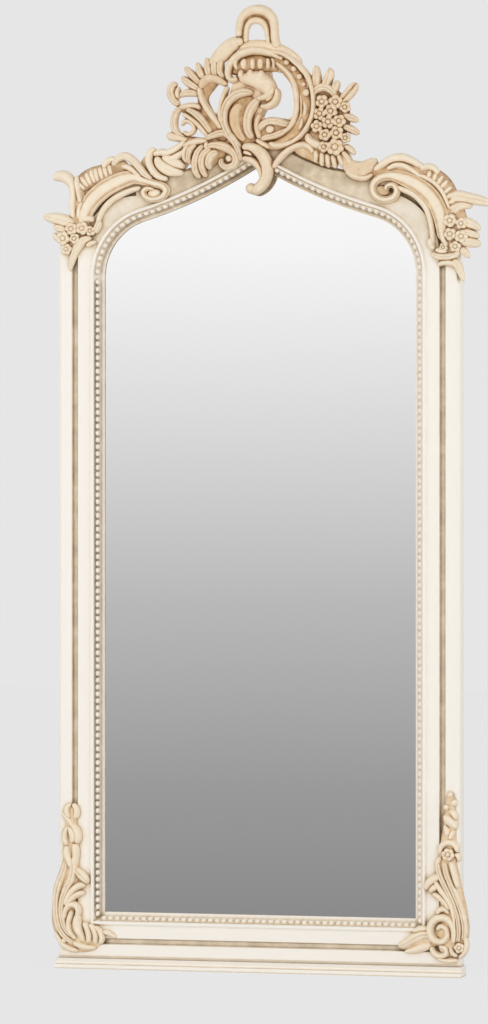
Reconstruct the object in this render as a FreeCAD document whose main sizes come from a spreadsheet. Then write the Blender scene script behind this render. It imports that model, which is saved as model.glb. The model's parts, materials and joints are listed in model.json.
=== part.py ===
import FreeCAD, Part
import math
import os
import Sketcher

os.makedirs("parts", exist_ok=True)
doc = FreeCAD.newDocument("ArchedMirror")
Vector = FreeCAD.Vector

# Driving sizes
# Millimetres and degrees. X runs across the mirror, Z up, and the front faces -Y. The back of the
# mouldings lies on the plane Y = 0 and the bottom of the plinth on Z = 0.
SIZES = [
    ("frame_width", 812),
    ("spring_height", 1370),
    ("apex_rise", 214),
    ("shoulder_radius", 115),
    ("shoulder_turn", 73.3),
    ("outer_shoulder_radius", 165),
    ("outer_spring_rise", 35),
    ("outer_shoulder_turn", 92),
    ("crown_dip", 7),
    ("crest_foot", 84),
    ("groove_turn", 88),
    ("base_height", 20),
    ("base_reach", 4),
    ("base_depth", 52),
    ("base_fillet_height", 8),
    ("base_groove_depth", 6),
    ("rail_width", 91),
    ("outer_depth", 36),
    ("member_depth", 42),
    ("edge_ease", 6),
    ("member_width", 28),
    ("groove_slope", 3),
    ("groove_width", 13),
    ("groove_floor", 34),
    ("ridge_start", 65),
    ("ridge_slope", 4),
    ("ridge_depth", 46),
    ("ridge_width", 4),
    ("flank_width", 10),
    ("flank_depth", 25),
    ("lip_front", 24),
    ("rebate_depth", 20),
    ("rebate_width", 8),
    ("glass_thickness", 4),
    ("edge_clearance", 2),
    ("panel_thickness", 6),
    ("block_length", 60),
    ("block_inset", 120),
    ("bead_pitch", 13.6),
    ("bead_radius", 5.5),
    ("bead_rise", 4.5),
    ("bead_strip_width", 14),
    ("bead_strip_thickness", 1.2),
    ("plate_thickness", 2),
    ("plate_leg", 120),
    ("plate_width", 24),
    ("plate_inset", 30),
    ("joint_plate_length", 130),
    ("apex_plate_length", 90),
    ("cleat_length", 110),
    ("cleat_spread", 80),
    ("point_width", 12),
    ("point_bite", 7),
    ("point_show", 9),
    ("point_sheet", 0.8),
    ("point_end_margin", 150),
    ("screw_radius", 2),
    ("screw_head_radius", 4),
    ("screw_head_height", 2.2),
    ("screw_reach", 16),
    ("screw_clearance", 0.05),
    ("hole_spare", 1),
    ("pad_width", 22),
    ("pad_height", 9),
    ("pad_inset", 22),
    ("hanger_drop", 190),
    ("hanger_inset", 30),
    ("strap_width", 18),
    ("strap_length", 72),
    ("strap_sheet", 1.6),
    ("strap_margin", 9),
    ("strap_screw_step", 22),
    ("ring_wire_radius", 1.75),
    ("ring_inner_width", 34),
    ("ring_running_gap", 0.08),
    ("knuckle_rise", 0.4),
    ("photo_pixel", 1.965),
    ("carving_seat", 42),
    ("pendant_seat", 48),
    ("finial_seat", 26),
    ("ridge_seat", 20),
    ("carving_gap", 0.3),
    ("band_half_width", 12),
    ("band_rise", 12),
    ("band_volute_radius", 22),
    ("flute_half_width", 15),
    ("flute_rise", 32),
    ("overrun", 5),
]

sheet = doc.addObject("Spreadsheet::Sheet", "Sizes")
for row, (alias, value) in enumerate(SIZES, start=1):
    sheet.set(f"A{row}", alias)
    sheet.set(f"B{row}", str(value))
    sheet.setAlias(f"B{row}", alias)
doc.recompute()


def size(expression):
    """Value of a size, or of a sum of sizes, as the sheet holds them."""
    value = sheet.evalExpression(expression)
    return float(getattr(value, "Value", value))


APEX = "(Sizes.spring_height + Sizes.apex_rise)"
OUTER_APEX = f"({APEX} + Sizes.rail_width - Sizes.crown_dip)"
HANGER_HEIGHT = "(Sizes.spring_height - Sizes.hanger_drop)"

near_share = 0.01
straight_share = 0.999
overrun = size("Sizes.overrun")
near = overrun * near_share


parts = []


def keep(thing, label):
    thing.Label = label
    parts.append(thing)
    return thing


def shaped(label, shape):
    """A sub-part whose shape comes from a formula, such as a curve or a spiral."""
    thing = doc.addObject("Part::Feature", label)
    thing.Shape = shape
    thing.Placement = FreeCAD.Placement()
    return keep(thing, label)


# Sketches and features
def new_body(label):
    return keep(doc.addObject("PartDesign::Body", label), label)


def sketch_on(body, name, role, offset=None):
    """Sketch on one of the body's own origin planes, moved along its normal by a size."""
    sketch = body.newObject("Sketcher::SketchObject", name)
    plane = next(item for item in body.Origin.OriginFeatures if item.Role == role)
    sketch.AttachmentSupport = [(plane, "")]
    sketch.MapMode = "FlatFace"
    if offset:
        sketch.setExpression("AttachmentOffset.Base.z", offset)
    return sketch


def outline(sketch, points):
    """Closed run of straight edges. Each corner is held at its two sizes from the origin."""
    places = [Vector(size(across), size(along), 0) for across, along in points]
    first = sketch.GeometryCount
    count = len(places)
    for index, start in enumerate(places):
        sketch.addGeometry(Part.LineSegment(start, places[(index + 1) % count]))
    for index in range(count):
        following = first + (index + 1) % count
        sketch.addConstraint(Sketcher.Constraint("Coincident", first + index, 2, following, 1))
    for index, (across, along) in enumerate(points):
        for kind, expression in (("DistanceX", across), ("DistanceY", along)):
            value = size(expression)
            rule = Sketcher.Constraint(kind, -1, 1, first + index, 1, value)
            number = sketch.addConstraint(rule)
            sketch.setExpression(f"Constraints[{number}]", expression)


def circle(sketch, across, along, radius):
    """Full circle held at its centre and radius."""
    centre = Vector(size(across), size(along), 0)
    number = sketch.addGeometry(Part.Circle(centre, Vector(0, 0, 1), size(radius)))
    for kind, expression in (("DistanceX", across), ("DistanceY", along)):
        rule = Sketcher.Constraint(kind, -1, 1, number, 3, size(expression))
        index = sketch.addConstraint(rule)
        sketch.setExpression(f"Constraints[{index}]", expression)
    index = sketch.addConstraint(Sketcher.Constraint("Radius", number, size(radius)))
    sketch.setExpression(f"Constraints[{index}]", radius)


# What is small and repeated, such as a screw and its hole, has few sides instead of a round wall.
small_sides = 6
SCREW_HOLE = "Sizes.screw_radius + Sizes.screw_clearance"


def small_turns():
    """Cosine and sine of each corner of a small ring."""
    angles = [2 * math.pi * index / small_sides for index in range(small_sides)]
    return [(math.cos(angle), math.sin(angle)) for angle in angles]


def small_hole(sketch, across, along):
    """Outline of a screw's hole about its middle."""
    outline(sketch, [(f"{across} + {turn} * ({SCREW_HOLE})", f"{along} + {rise} * ({SCREW_HOLE})")
                     for turn, rise in small_turns()])


def around(centre, radius):
    """Small ring of points about a line from front to back."""
    return [centre + Vector(turn, 0, rise) * radius for turn, rise in small_turns()]


def pad(body, name, sketch, length, middle=False):
    feature = body.newObject("PartDesign::Pad", name)
    feature.Profile = sketch
    feature.setExpression("Length", length)
    feature.Midplane = middle
    doc.recompute()
    return feature


def pocket(body, name, sketch, length=None, middle=False):
    """Pocket through everything, to a depth from the frame's back, or to both sides of its sketch."""
    before = body.Shape.Volume
    feature = body.newObject("PartDesign::Pocket", name)
    feature.Profile = sketch
    if length:
        feature.setExpression("Length", length)
        feature.Midplane = middle
        feature.Reversed = not middle
    else:
        feature.Type = "ThroughAll"
        feature.Midplane = True
    doc.recompute()
    if body.Shape.Volume >= before:
        raise RuntimeError(f"{body.Label}: {name} takes nothing away")
    return feature


def bar(across, up, half_across, half_up):
    """Corners of an upright rectangle about its middle."""
    return [(f"{across} + {turn} * ({half_across})", f"{up} + {rise} * ({half_up})")
            for turn, rise in ((-1, -1), (1, -1), (1, 1), (-1, 1))]


def long_edges(shape, place, depth, axis):
    """Names of the edges that run along one axis through a given corner of the profile."""
    names = []
    for number, edge in enumerate(shape.Edges, start=1):
        middle = edge.valueAt((edge.FirstParameter + edge.LastParameter) / 2)
        run = edge.tangentAt(edge.FirstParameter)
        level = middle.z if axis == "x" else middle.x
        straight = abs(run.x if axis == "x" else run.z) > straight_share
        if straight and abs(level - place) < near and abs(middle.y + depth) < near:
            names.append(f"Edge{number}")
    return names


def flat_faces(corners):
    """One face for corners that share a plane, or else two triangles."""
    first, second, third, fourth = corners
    twist = (second - first).cross(third - first).dot(fourth - first)
    if abs(twist) < near ** 3:
        return [Part.Face(Part.makePolygon(corners + corners[:1]))]
    return [Part.Face(Part.makePolygon([first, second, third, first])),
            Part.Face(Part.makePolygon([first, third, fourth, first]))]


def closed_solid(faces):
    shell = Part.makeShell(faces)
    shell.sewShape()
    solid = Part.Solid(shell)
    if solid.Volume < 0:
        solid.reverse()
    return solid


def faceted(rings):
    """Solid with flat sides through a row of rings that all have as many points."""
    faces = [Part.Face(Part.makePolygon(ring + ring[:1])) for ring in (rings[0], rings[-1])]
    for ring, following in zip(rings, rings[1:]):
        for index in range(len(ring)):
            beside = (index + 1) % len(ring)
            faces += flat_faces([ring[index], ring[beside], following[beside], following[index]])
    return closed_solid(faces)


# Moulding section
# Pairs of size names: inwards from the outer edge of the frame, and forwards from its back.
SECTION = [
    ("0", "0"),
    ("0", "Sizes.outer_depth"),
    ("Sizes.edge_ease", "Sizes.member_depth"),
    ("Sizes.member_width", "Sizes.member_depth"),
    ("Sizes.member_width + Sizes.groove_slope", "Sizes.groove_floor"),
    ("Sizes.member_width + Sizes.groove_width - Sizes.groove_slope", "Sizes.groove_floor"),
    ("Sizes.member_width + Sizes.groove_width", "Sizes.member_depth"),
    ("Sizes.ridge_start", "Sizes.member_depth"),
    ("Sizes.ridge_start + Sizes.ridge_slope", "Sizes.ridge_depth"),
    ("Sizes.ridge_start + Sizes.ridge_slope + Sizes.ridge_width", "Sizes.ridge_depth"),
    ("Sizes.ridge_start + Sizes.ridge_slope + Sizes.ridge_width + Sizes.flank_width",
     "Sizes.flank_depth"),
    ("Sizes.rail_width", "Sizes.lip_front"),
    ("Sizes.rail_width", "Sizes.rebate_depth"),
    ("Sizes.rail_width - Sizes.rebate_width", "Sizes.rebate_depth"),
    ("Sizes.rail_width - Sizes.rebate_width", "0"),
]
SIDES = (("left", -1), ("right", 1))

half_width = size("Sizes.frame_width / 2")
rail_width = size("Sizes.rail_width")
sight_half = half_width - rail_width
base_height = size("Sizes.base_height")
spring_height = size("Sizes.spring_height")
apex_height = size(APEX)
shoulder_radius = size("Sizes.shoulder_radius")
shoulder_turn = math.radians(size("Sizes.shoulder_turn"))


# Stiles and bottom rail
def build_stile(side, sign):
    body = new_body(f"{side}_stile")
    section = sketch_on(body, f"{side}_stile_section", "XY_Plane", "Sizes.base_height")
    outline(section, [(f"{sign} * (Sizes.frame_width / 2 - ({inwards}))", f"-({forwards})")
                      for inwards, forwards in SECTION])
    pad(body, f"{side}_stile_run", section, "Sizes.spring_height - Sizes.base_height")
    mitre = sketch_on(body, f"{side}_stile_mitre_line", "XZ_Plane")
    foot = "Sizes.base_height - Sizes.overrun"
    inner = "Sizes.frame_width / 2 - Sizes.rail_width - Sizes.overrun"
    outline(mitre, [
        (f"{sign} * (Sizes.frame_width / 2 + Sizes.overrun)", foot),
        (f"{sign} * ({inner})", "Sizes.base_height + Sizes.rail_width + Sizes.overrun"),
        (f"{sign} * ({inner})", foot),
    ])
    pocket(body, f"{side}_stile_mitre", mitre)
    ease_outer_edge(body, sign * half_width, "z")
    screw_holes(body, [(f"{sign} * ({across})", up) for across, up in STILE_SCREWS])
    slots = sketch_on(body, f"{side}_stile_slots", "YZ_Plane", f"{sign} * ({SIDE_WALL})")
    for place in SIDE_POINTS:
        outline(slots, bar(f"-({POINT_LEVEL})", place, HALF_SHEET, HALF_POINT))
    pocket(body, f"{side}_stile_slots_cut", slots, "2 * Sizes.point_bite", middle=True)


def ease_outer_edge(body, outer, axis):
    """Rounds the two corners of the outer member, as a moulding cutter leaves them."""
    inward = size("Sizes.edge_ease") * (1 if outer < 0 or axis == "x" else -1)
    names = long_edges(body.Shape, outer + inward, size("Sizes.member_depth"), axis)
    names += long_edges(body.Shape, outer, size("Sizes.outer_depth"), axis)
    base = body.Tip
    fillet = body.newObject("PartDesign::Fillet", f"{body.Label}_ease")
    fillet.Base = (base, names)
    fillet.setExpression("Radius", "Sizes.edge_ease / 2")
    doc.recompute()


def screw_holes(body, places):
    """Blind holes from the back of a rail."""
    holes = sketch_on(body, f"{body.Label}_holes", "XZ_Plane")
    for across, up in places:
        small_hole(holes, across, up)
    pocket(body, f"{body.Label}_holes_cut", holes, "Sizes.screw_reach + Sizes.hole_spare")


def build_bottom_rail():
    body = new_body("bottom_rail")
    section = sketch_on(body, "bottom_rail_section", "YZ_Plane")
    outline(section, [(f"-({forwards})", f"Sizes.base_height + ({inwards})")
                      for inwards, forwards in SECTION])
    pad(body, "bottom_rail_run", section, "Sizes.frame_width", middle=True)
    mitre = sketch_on(body, "bottom_rail_mitre_lines", "XZ_Plane")
    top = "Sizes.base_height + Sizes.rail_width + Sizes.overrun"
    for sign in (-1, 1):
        outer = f"{sign} * (Sizes.frame_width / 2 + Sizes.overrun)"
        inner = f"{sign} * (Sizes.frame_width / 2 - Sizes.rail_width - Sizes.overrun)"
        outline(mitre, [(outer, "Sizes.base_height - Sizes.overrun"), (inner, top), (outer, top)])
    pocket(body, "bottom_rail_mitres", mitre)
    ease_outer_edge(body, base_height, "x")
    screw_holes(body, BOTTOM_SCREWS)
    slots = sketch_on(body, "bottom_rail_slots", "XY_Plane", BOTTOM_WALL)
    for place in BOTTOM_POINTS:
        outline(slots, bar(place, f"-({POINT_LEVEL})", HALF_POINT, HALF_SHEET))
    pocket(body, "bottom_rail_slots_cut", slots, "2 * Sizes.point_bite", middle=True)


# Arched top
# Each half of the sight edge is an arc over the shoulder that turns back, tangent, into a long
# reverse arc through the apex. Anything that follows it keeps the same two centres.
FORWARD = Vector(0, -1, 0)
BACKWARD = Vector(0, 1, 0)


def reverse_arc(centre, radius, turn, apex):
    """Inflection, centre and radius of the arc that leaves the first one tangent."""
    outward = Vector(math.cos(turn), 0, math.sin(turn))
    inflection = centre + outward * radius
    chord = Vector(0, 0, apex) - inflection
    long_radius = chord.dot(chord) / (2 * chord.dot(outward))
    return inflection, inflection + outward * long_radius, long_radius


shoulder_centre = Vector(sight_half - shoulder_radius, 0, spring_height)
inflection, reverse_centre, reverse_radius = reverse_arc(
    shoulder_centre, shoulder_radius, shoulder_turn, apex_height)
inflection_angle = shoulder_turn + math.pi
apex_angle = math.atan2(apex_height - reverse_centre.z, -reverse_centre.x) + 2 * math.pi
shoulder_length = shoulder_radius * shoulder_turn
arch_length = shoulder_length + reverse_radius * (inflection_angle - apex_angle)


def along_arch(distance, outward):
    """Point and outward direction on a line that runs beside the right half of the sight edge."""
    if distance <= shoulder_length:
        angle = distance / shoulder_radius
        normal = Vector(math.cos(angle), 0, math.sin(angle))
        return shoulder_centre + normal * (shoulder_radius + outward), normal
    angle = inflection_angle - (distance - shoulder_length) / reverse_radius
    normal = Vector(-math.cos(angle), 0, -math.sin(angle))
    return reverse_centre - normal * (reverse_radius - outward), normal


def arc_between(centre, radius, start, end):
    def at(angle):
        return centre + Vector(math.cos(angle), 0, math.sin(angle)) * radius
    return Part.Arc(at(start), at((start + end) / 2), at(end)).toShape()


def sight_arcs(outward):
    """The two arcs of the right half, moved outwards, as far as the centre line."""
    long_radius = reverse_radius - outward
    last = 2 * math.pi - math.acos(-reverse_centre.x / long_radius)
    return [
        arc_between(shoulder_centre, shoulder_radius + outward, 0, shoulder_turn),
        arc_between(reverse_centre, long_radius, inflection_angle, last),
    ]


def line(start, end):
    return Part.LineSegment(start, end).toShape()


def ends(edge):
    return edge.valueAt(edge.FirstParameter), edge.valueAt(edge.LastParameter)


def moved_mirror(shape):
    """The same shape on the other side of the centre line."""
    return shape.mirror(Vector(0, 0, 0), Vector(1, 0, 0))


def extruded(wire, back, front):
    """Flat piece between two distances forward of the frame's back."""
    face = Part.Face(Part.Wire(wire))
    face.translate(Vector(0, -back, 0))
    return face.extrude(Vector(0, back - front, 0))


def arched_plate(outward, back, front):
    """Plate whose outline runs beside the sight edge all round, such as the glass."""
    right = sight_arcs(outward)
    foot = base_height + rail_width - outward
    start = ends(right[0])[0]
    low = Vector(start.x, 0, foot)
    other_low = Vector(-low.x, 0, foot)
    left = [moved_mirror(edge) for edge in right]
    other_start = Vector(-start.x, 0, start.z)
    edges = [line(other_low, low), line(low, start)] + right + left
    edges.append(line(other_start, other_low))
    return extruded(Part.sortEdges(edges)[0], back, front)


# Outer line of the arched top
outer_radius = size("Sizes.outer_shoulder_radius")
outer_spring = size("Sizes.spring_height + Sizes.outer_spring_rise")
outer_centre = Vector(half_width - outer_radius, 0, outer_spring)
outer_turn = math.radians(size("Sizes.outer_shoulder_turn"))
outer_inflection, outer_reverse, outer_long_radius = reverse_arc(
    outer_centre, outer_radius, outer_turn, size(OUTER_APEX))
member_depth = size("Sizes.member_depth")
ridge_inwards = size("Sizes.ridge_start")
plate_offset = rail_width - ridge_inwards
groove_middle = size("Sizes.member_width + Sizes.groove_width / 2")
screw_hole = size(SCREW_HOLE)
screw_reach = size("Sizes.screw_reach")


def arch_body():
    """Flat board of the right half, from the outer line in to the moulded sight strip."""
    inner = sight_arcs(plate_offset)
    inner_start = ends(inner[0])[0]
    inner_apex = ends(inner[1])[1]
    outer_start = Vector(half_width, 0, spring_height)
    bend = Vector(half_width, 0, outer_centre.z)
    outer_apex = Vector(0, 0, size(OUTER_APEX))
    last = math.atan2(outer_apex.z - outer_reverse.z, -outer_reverse.x) + 2 * math.pi
    edges = [
        line(inner_start, outer_start),
        line(outer_start, bend),
        arc_between(outer_centre, outer_radius, 0, outer_turn),
        arc_between(outer_reverse, outer_long_radius, outer_turn + math.pi, last),
        line(outer_apex, inner_apex),
    ] + inner
    return extruded(Part.sortEdges(edges)[0], 0, member_depth)


def turned(section, centre, axis, angle):
    """Solid that a flat section leaves as it turns about an upright line through the centre."""
    return section.revolve(centre, axis, math.degrees(angle))


def right_half(shape):
    """What lies right of the centre line, so that both halves meet there in a mitre."""
    return shape.common(Part.makeBox(half_width, rail_width, apex_height * 2,
                                     Vector(0, -rail_width, 0)))


def beside_arch(corners):
    """Moulding beside the right half of the sight edge. Its section stands at the spring line."""
    section = Part.Face(Part.makePolygon(corners + corners[:1]))
    over_shoulder = turned(section, shoulder_centre, FORWARD, shoulder_turn)
    section.rotate(shoulder_centre, FORWARD, math.degrees(shoulder_turn))
    to_apex = inflection_angle - apex_angle + rail_width / reverse_radius
    to_centre = turned(section, reverse_centre, BACKWARD, to_apex)
    return right_half(over_shoulder.fuse(to_centre))


def arch_sight_strip():
    """Moulded strip next to the glass: ridge, bead flank, lip and the rebate behind them."""
    corners = [Vector(half_width - ridge_inwards, 0, spring_height)]
    corners += [Vector(half_width - size(inwards), -size(forwards), spring_height)
                for inwards, forwards in SECTION[7:]]
    return beside_arch(corners)


def arch_groove():
    """The groove of the stile carried round the shoulder, under the rounded band."""
    half_top = size("Sizes.groove_width / 2")
    half_floor = size("Sizes.groove_width / 2 - Sizes.groove_slope")
    floor = size("Sizes.groove_floor")
    middle = half_width - groove_middle
    above = member_depth + overrun
    corners = [Vector(middle + across, -depth, spring_height) for across, depth in (
        (half_top, above), (half_top, member_depth), (half_floor, floor),
        (-half_floor, floor), (-half_top, member_depth), (-half_top, above))]
    section = Part.Face(Part.makePolygon(corners + corners[:1]))
    rise = Vector(0, 0, outer_centre.z - spring_height)
    straight = section.extrude(rise)
    section.translate(rise)
    turn = math.radians(size("Sizes.groove_turn"))
    return [straight, turned(section, outer_centre, FORWARD, turn)]


def eased_outer_line(shape):
    """Rounds the front corner of the outer line, to meet the rounded stile below it."""
    corners = []
    for edge in shape.Edges:
        middle = edge.valueAt((edge.FirstParameter + edge.LastParameter) / 2)
        reach = middle - outer_centre
        reach.y = 0
        on_arc = abs(reach.Length - outer_radius) < near and middle.z > outer_centre.z
        on_side = abs(middle.x - half_width) < near
        if abs(middle.y + member_depth) < near and (on_arc or on_side):
            corners.append(edge)
    return shape.makeChamfer(size("Sizes.edge_ease"), corners)


def arch_rail(holes):
    body = eased_outer_line(arch_body()).cut(arch_groove())
    body = body.fuse(arch_sight_strip()).removeSplitter()
    return drilled(body.cut(ARCH_POINTS), holes)


# Places of points and screws
# Expressions hold for the right half, seen from the front, in millimetres from the origin.
side_point_count = 4
SIDE_WALL = "Sizes.frame_width / 2 - Sizes.rail_width + Sizes.rebate_width"
BOTTOM_WALL = "Sizes.base_height + Sizes.rail_width - Sizes.rebate_width"
PANEL_BACK = "Sizes.rebate_depth - Sizes.glass_thickness - Sizes.panel_thickness"
POINT_LEVEL = f"{PANEL_BACK} - Sizes.point_sheet / 2"
HALF_POINT = "Sizes.point_width / 2"
HALF_SHEET = "Sizes.point_sheet / 2"
POINT_FIRST = "Sizes.base_height + Sizes.rail_width + Sizes.point_end_margin"
POINT_LAST = "Sizes.spring_height - Sizes.point_end_margin"
SIDE_POINTS = [f"{POINT_FIRST} + ({POINT_LAST} - ({POINT_FIRST})) * {index} / {side_point_count - 1}"
               for index in range(side_point_count)]
BOTTOM_POINTS = [f"{index} * Sizes.point_end_margin" for index in (-1, 0, 1)]
arch_point_shares = (0.25, 0.7)

PLATE_LINE = "Sizes.frame_width / 2 - Sizes.plate_inset"
PLATE_END = "Sizes.base_height + Sizes.plate_inset + Sizes.plate_leg - Sizes.plate_width"
PLATE_SIDE_END = ("Sizes.frame_width / 2 - Sizes.plate_inset - Sizes.plate_leg"
                  " + Sizes.plate_width")
PLATE_BOTTOM = "Sizes.base_height + Sizes.plate_inset"
JOINT_STEP = "Sizes.joint_plate_length / 2 - Sizes.plate_width / 2"
HANGER_LINE = "Sizes.frame_width / 2 - Sizes.hanger_inset"
STRAP_LAST = f"{HANGER_HEIGHT} - Sizes.strap_length + Sizes.strap_margin"
STRAP_FIRST = f"{STRAP_LAST} + Sizes.strap_screw_step"
STILE_SCREWS = [(PLATE_LINE, PLATE_END), (PLATE_LINE, f"Sizes.spring_height - ({JOINT_STEP})"),
                (HANGER_LINE, STRAP_LAST), (HANGER_LINE, STRAP_FIRST)]
BOTTOM_SCREWS = [(f"{sign} * ({PLATE_SIDE_END})", PLATE_BOTTOM) for side, sign in SIDES]

APEX_LINE = f"{APEX} + Sizes.plate_inset"
APEX_STEP = "Sizes.apex_plate_length / 2 - Sizes.plate_width / 2"
CLEAT_MIDDLE = f"{OUTER_APEX} - Sizes.plate_inset"
CLEAT_STEP = "Sizes.cleat_length / 2 - Sizes.plate_width / 2"
ARCH_SCREWS = [
    (PLATE_LINE, f"Sizes.spring_height + ({JOINT_STEP})"),
    (APEX_STEP, APEX_LINE),
    ("Sizes.cleat_spread", f"{CLEAT_MIDDLE} - ({CLEAT_STEP})"),
]


def driven_point(wall, outward):
    """Flat steel point: one end driven into the rebate's wall, the other on the back panel."""
    along = Vector(-outward.z, 0, outward.x) * size(HALF_POINT)
    outer = wall + outward * size("Sizes.point_bite")
    inner = wall - outward * size("Sizes.point_show")
    corners = [inner - along, outer - along, outer + along, inner + along]
    blade = Part.Face(Part.makePolygon(corners + corners[:1]))
    blade.translate(FORWARD * size(PANEL_BACK))
    return blade.extrude(BACKWARD * size("Sizes.point_sheet"))


ARCH_POINTS = []
for share in arch_point_shares:
    ARCH_POINTS.append(driven_point(*along_arch(share * arch_length, size("Sizes.rebate_width"))))


def place_of(across, up):
    return Vector(size(across), 0, size(up))


def drilled(shape, points):
    """The shape with a screw hole at each point of its back face."""
    depth = screw_reach + size("Sizes.hole_spare")
    mouths = [around(point + BACKWARD * overrun, screw_hole) for point in points]
    return shape.cut([Part.Face(Part.makePolygon(mouth + mouth[:1])).extrude(
        FORWARD * (depth + overrun)) for mouth in mouths])


def screws(points, under_head):
    """Pan-headed screws whose heads bear on a sheet of the given thickness."""
    radius = size("Sizes.screw_radius")
    head = size("Sizes.screw_head_radius")
    top = under_head + size("Sizes.screw_head_height")
    profile = ((radius, -screw_reach), (radius, under_head), (head, under_head), (radius, top))
    return Part.makeCompound([
        faceted([around(point + BACKWARD * back, reach) for reach, back in profile])
        for point in points])


# Frame
for side, sign in SIDES:
    build_stile(side, sign)
build_bottom_rail()
rail = arch_rail([place_of(across, up) for across, up in ARCH_SCREWS])
shaped("arch_rail_right", rail)
shaped("arch_rail_left", moved_mirror(rail))


def build_base():
    body = new_body("base_moulding")
    section = sketch_on(body, "base_section", "YZ_Plane")
    outline(section, [
        ("0", "0"),
        ("-Sizes.base_depth", "0"),
        ("-Sizes.base_depth", "Sizes.base_fillet_height"),
        ("-(Sizes.base_depth - Sizes.base_groove_depth)", "Sizes.base_fillet_height"),
        ("-(Sizes.base_depth - Sizes.base_groove_depth)",
         "Sizes.base_height - Sizes.base_groove_depth"),
        ("-(Sizes.base_depth - Sizes.base_groove_depth / 2)", "Sizes.base_height"),
        ("0", "Sizes.base_height"),
    ])
    pad(body, "base_run", section, "Sizes.frame_width + 2 * Sizes.base_reach", middle=True)


build_base()

# Glass and what holds it
glass_front = size("Sizes.rebate_depth")
glass_back = glass_front - size("Sizes.glass_thickness")
panel_back = size(PANEL_BACK)
edge_clearance = size("Sizes.edge_clearance")
glass_outward = size("Sizes.rebate_width") - edge_clearance
shaped("mirror_glass", arched_plate(glass_outward, glass_back, glass_front))
shaped("back_panel", arched_plate(glass_outward, panel_back, glass_back))


def build_setting_blocks():
    length = size("Sizes.block_length")
    blocks = []
    for side, sign in SIDES:
        start = sign * (sight_half - size("Sizes.block_inset")) - length / 2
        corner = Vector(start, -glass_front, base_height + rail_width - size("Sizes.rebate_width"))
        blocks.append(Part.makeBox(length, glass_front - panel_back, edge_clearance, corner))
    return Part.makeCompound(blocks)


shaped("setting_blocks", build_setting_blocks())


def build_points():
    places = [(place_of("0", up) + Vector(sign * size(SIDE_WALL), 0, 0), Vector(sign, 0, 0))
              for up in SIDE_POINTS for side, sign in SIDES]
    places += [(place_of(across, BOTTOM_WALL), Vector(0, 0, -1)) for across in BOTTOM_POINTS]
    blades = [driven_point(*place) for place in places] + ARCH_POINTS
    blades += [moved_mirror(blade) for blade in ARCH_POINTS]
    shaped("panel_points", Part.makeCompound(blades))


build_points()


# Plates over the joints
def build_plate(label, corners, holes):
    body = new_body(label)
    sketch = sketch_on(body, f"{label}_outline", "XZ_Plane")
    outline(sketch, corners)
    for across, up in holes:
        small_hole(sketch, across, up)
    feature = pad(body, f"{label}_sheet", sketch, "Sizes.plate_thickness")
    feature.Reversed = True
    doc.recompute()


HALF_PLATE = "Sizes.plate_width / 2"
plate_points = []
for side, sign in SIDES:
    outer = f"{sign} * ({PLATE_LINE} + {HALF_PLATE})"
    inner = f"{sign} * ({PLATE_LINE} - {HALF_PLATE})"
    leg_end = f"{sign} * ({PLATE_LINE} + {HALF_PLATE} - Sizes.plate_leg)"
    low = f"{PLATE_BOTTOM} - {HALF_PLATE}"
    high = f"{PLATE_BOTTOM} + {HALF_PLATE}"
    top = f"{PLATE_BOTTOM} - {HALF_PLATE} + Sizes.plate_leg"
    holes = [(f"{sign} * ({PLATE_LINE})", PLATE_END), (f"{sign} * ({PLATE_SIDE_END})", PLATE_BOTTOM)]
    build_plate(f"corner_plate_{side}", [(outer, low), (outer, top), (inner, top), (inner, high),
                                         (leg_end, high), (leg_end, low)], holes)
    joint = f"{sign} * ({PLATE_LINE})"
    joint_holes = [(joint, f"Sizes.spring_height + {step} * ({JOINT_STEP})") for step in (-1, 1)]
    build_plate(f"joint_plate_{side}",
                bar(joint, "Sizes.spring_height", HALF_PLATE, "Sizes.joint_plate_length / 2"),
                joint_holes)
    plate_points += [place_of(*hole) for hole in holes + joint_holes]
apex_holes = [(f"{step} * ({APEX_STEP})", APEX_LINE) for step in (-1, 1)]
build_plate("apex_plate", bar("0", APEX_LINE, "Sizes.apex_plate_length / 2", HALF_PLATE), apex_holes)
plate_points += [place_of(*hole) for hole in apex_holes]
shaped("plate_screws", screws(plate_points, size("Sizes.plate_thickness")))
cleat_points = []
for side, sign in SIDES:
    cleat = f"{sign} * Sizes.cleat_spread"
    holes = [(cleat, f"{CLEAT_MIDDLE} + {step} * ({CLEAT_STEP})") for step in (-1, 1)]
    build_plate(f"crest_cleat_{side}",
                bar(cleat, CLEAT_MIDDLE, HALF_PLATE, "Sizes.cleat_length / 2"), holes)
    cleat_points += [place_of(*hole) for hole in holes]
shaped("cleat_screws", screws(cleat_points, size("Sizes.plate_thickness")))

# Wall pads
pad_width = size("Sizes.pad_width")
pad_height = size("Sizes.pad_height")
pad_side = half_width - size("Sizes.pad_inset")
pad_low = size("Sizes.base_height + Sizes.plate_inset + Sizes.plate_leg + Sizes.pad_inset")
pad_high = size(f"{HANGER_HEIGHT} - Sizes.strap_length - 2 * Sizes.pad_inset")
pads = [Part.makeBox(pad_width, pad_height, pad_width,
                     Vector(sign * pad_side - pad_width / 2, 0, up - pad_width / 2))
        for side, sign in SIDES for up in (pad_low, pad_high)]
shaped("wall_pads", Part.makeCompound(pads))


# Strap hangers with swinging rings
wire_radius = size("Sizes.ring_wire_radius")
KNUCKLE_BORE = "Sizes.ring_wire_radius + Sizes.ring_running_gap"
KNUCKLE_RADIUS = f"{KNUCKLE_BORE} + Sizes.strap_sheet"
KNUCKLE_DEPTH = f"{KNUCKLE_RADIUS} + Sizes.knuckle_rise"
ring_axis_depth = size(KNUCKLE_DEPTH)
bow_steps = 10
hanger_height = size(HANGER_HEIGHT)


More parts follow.
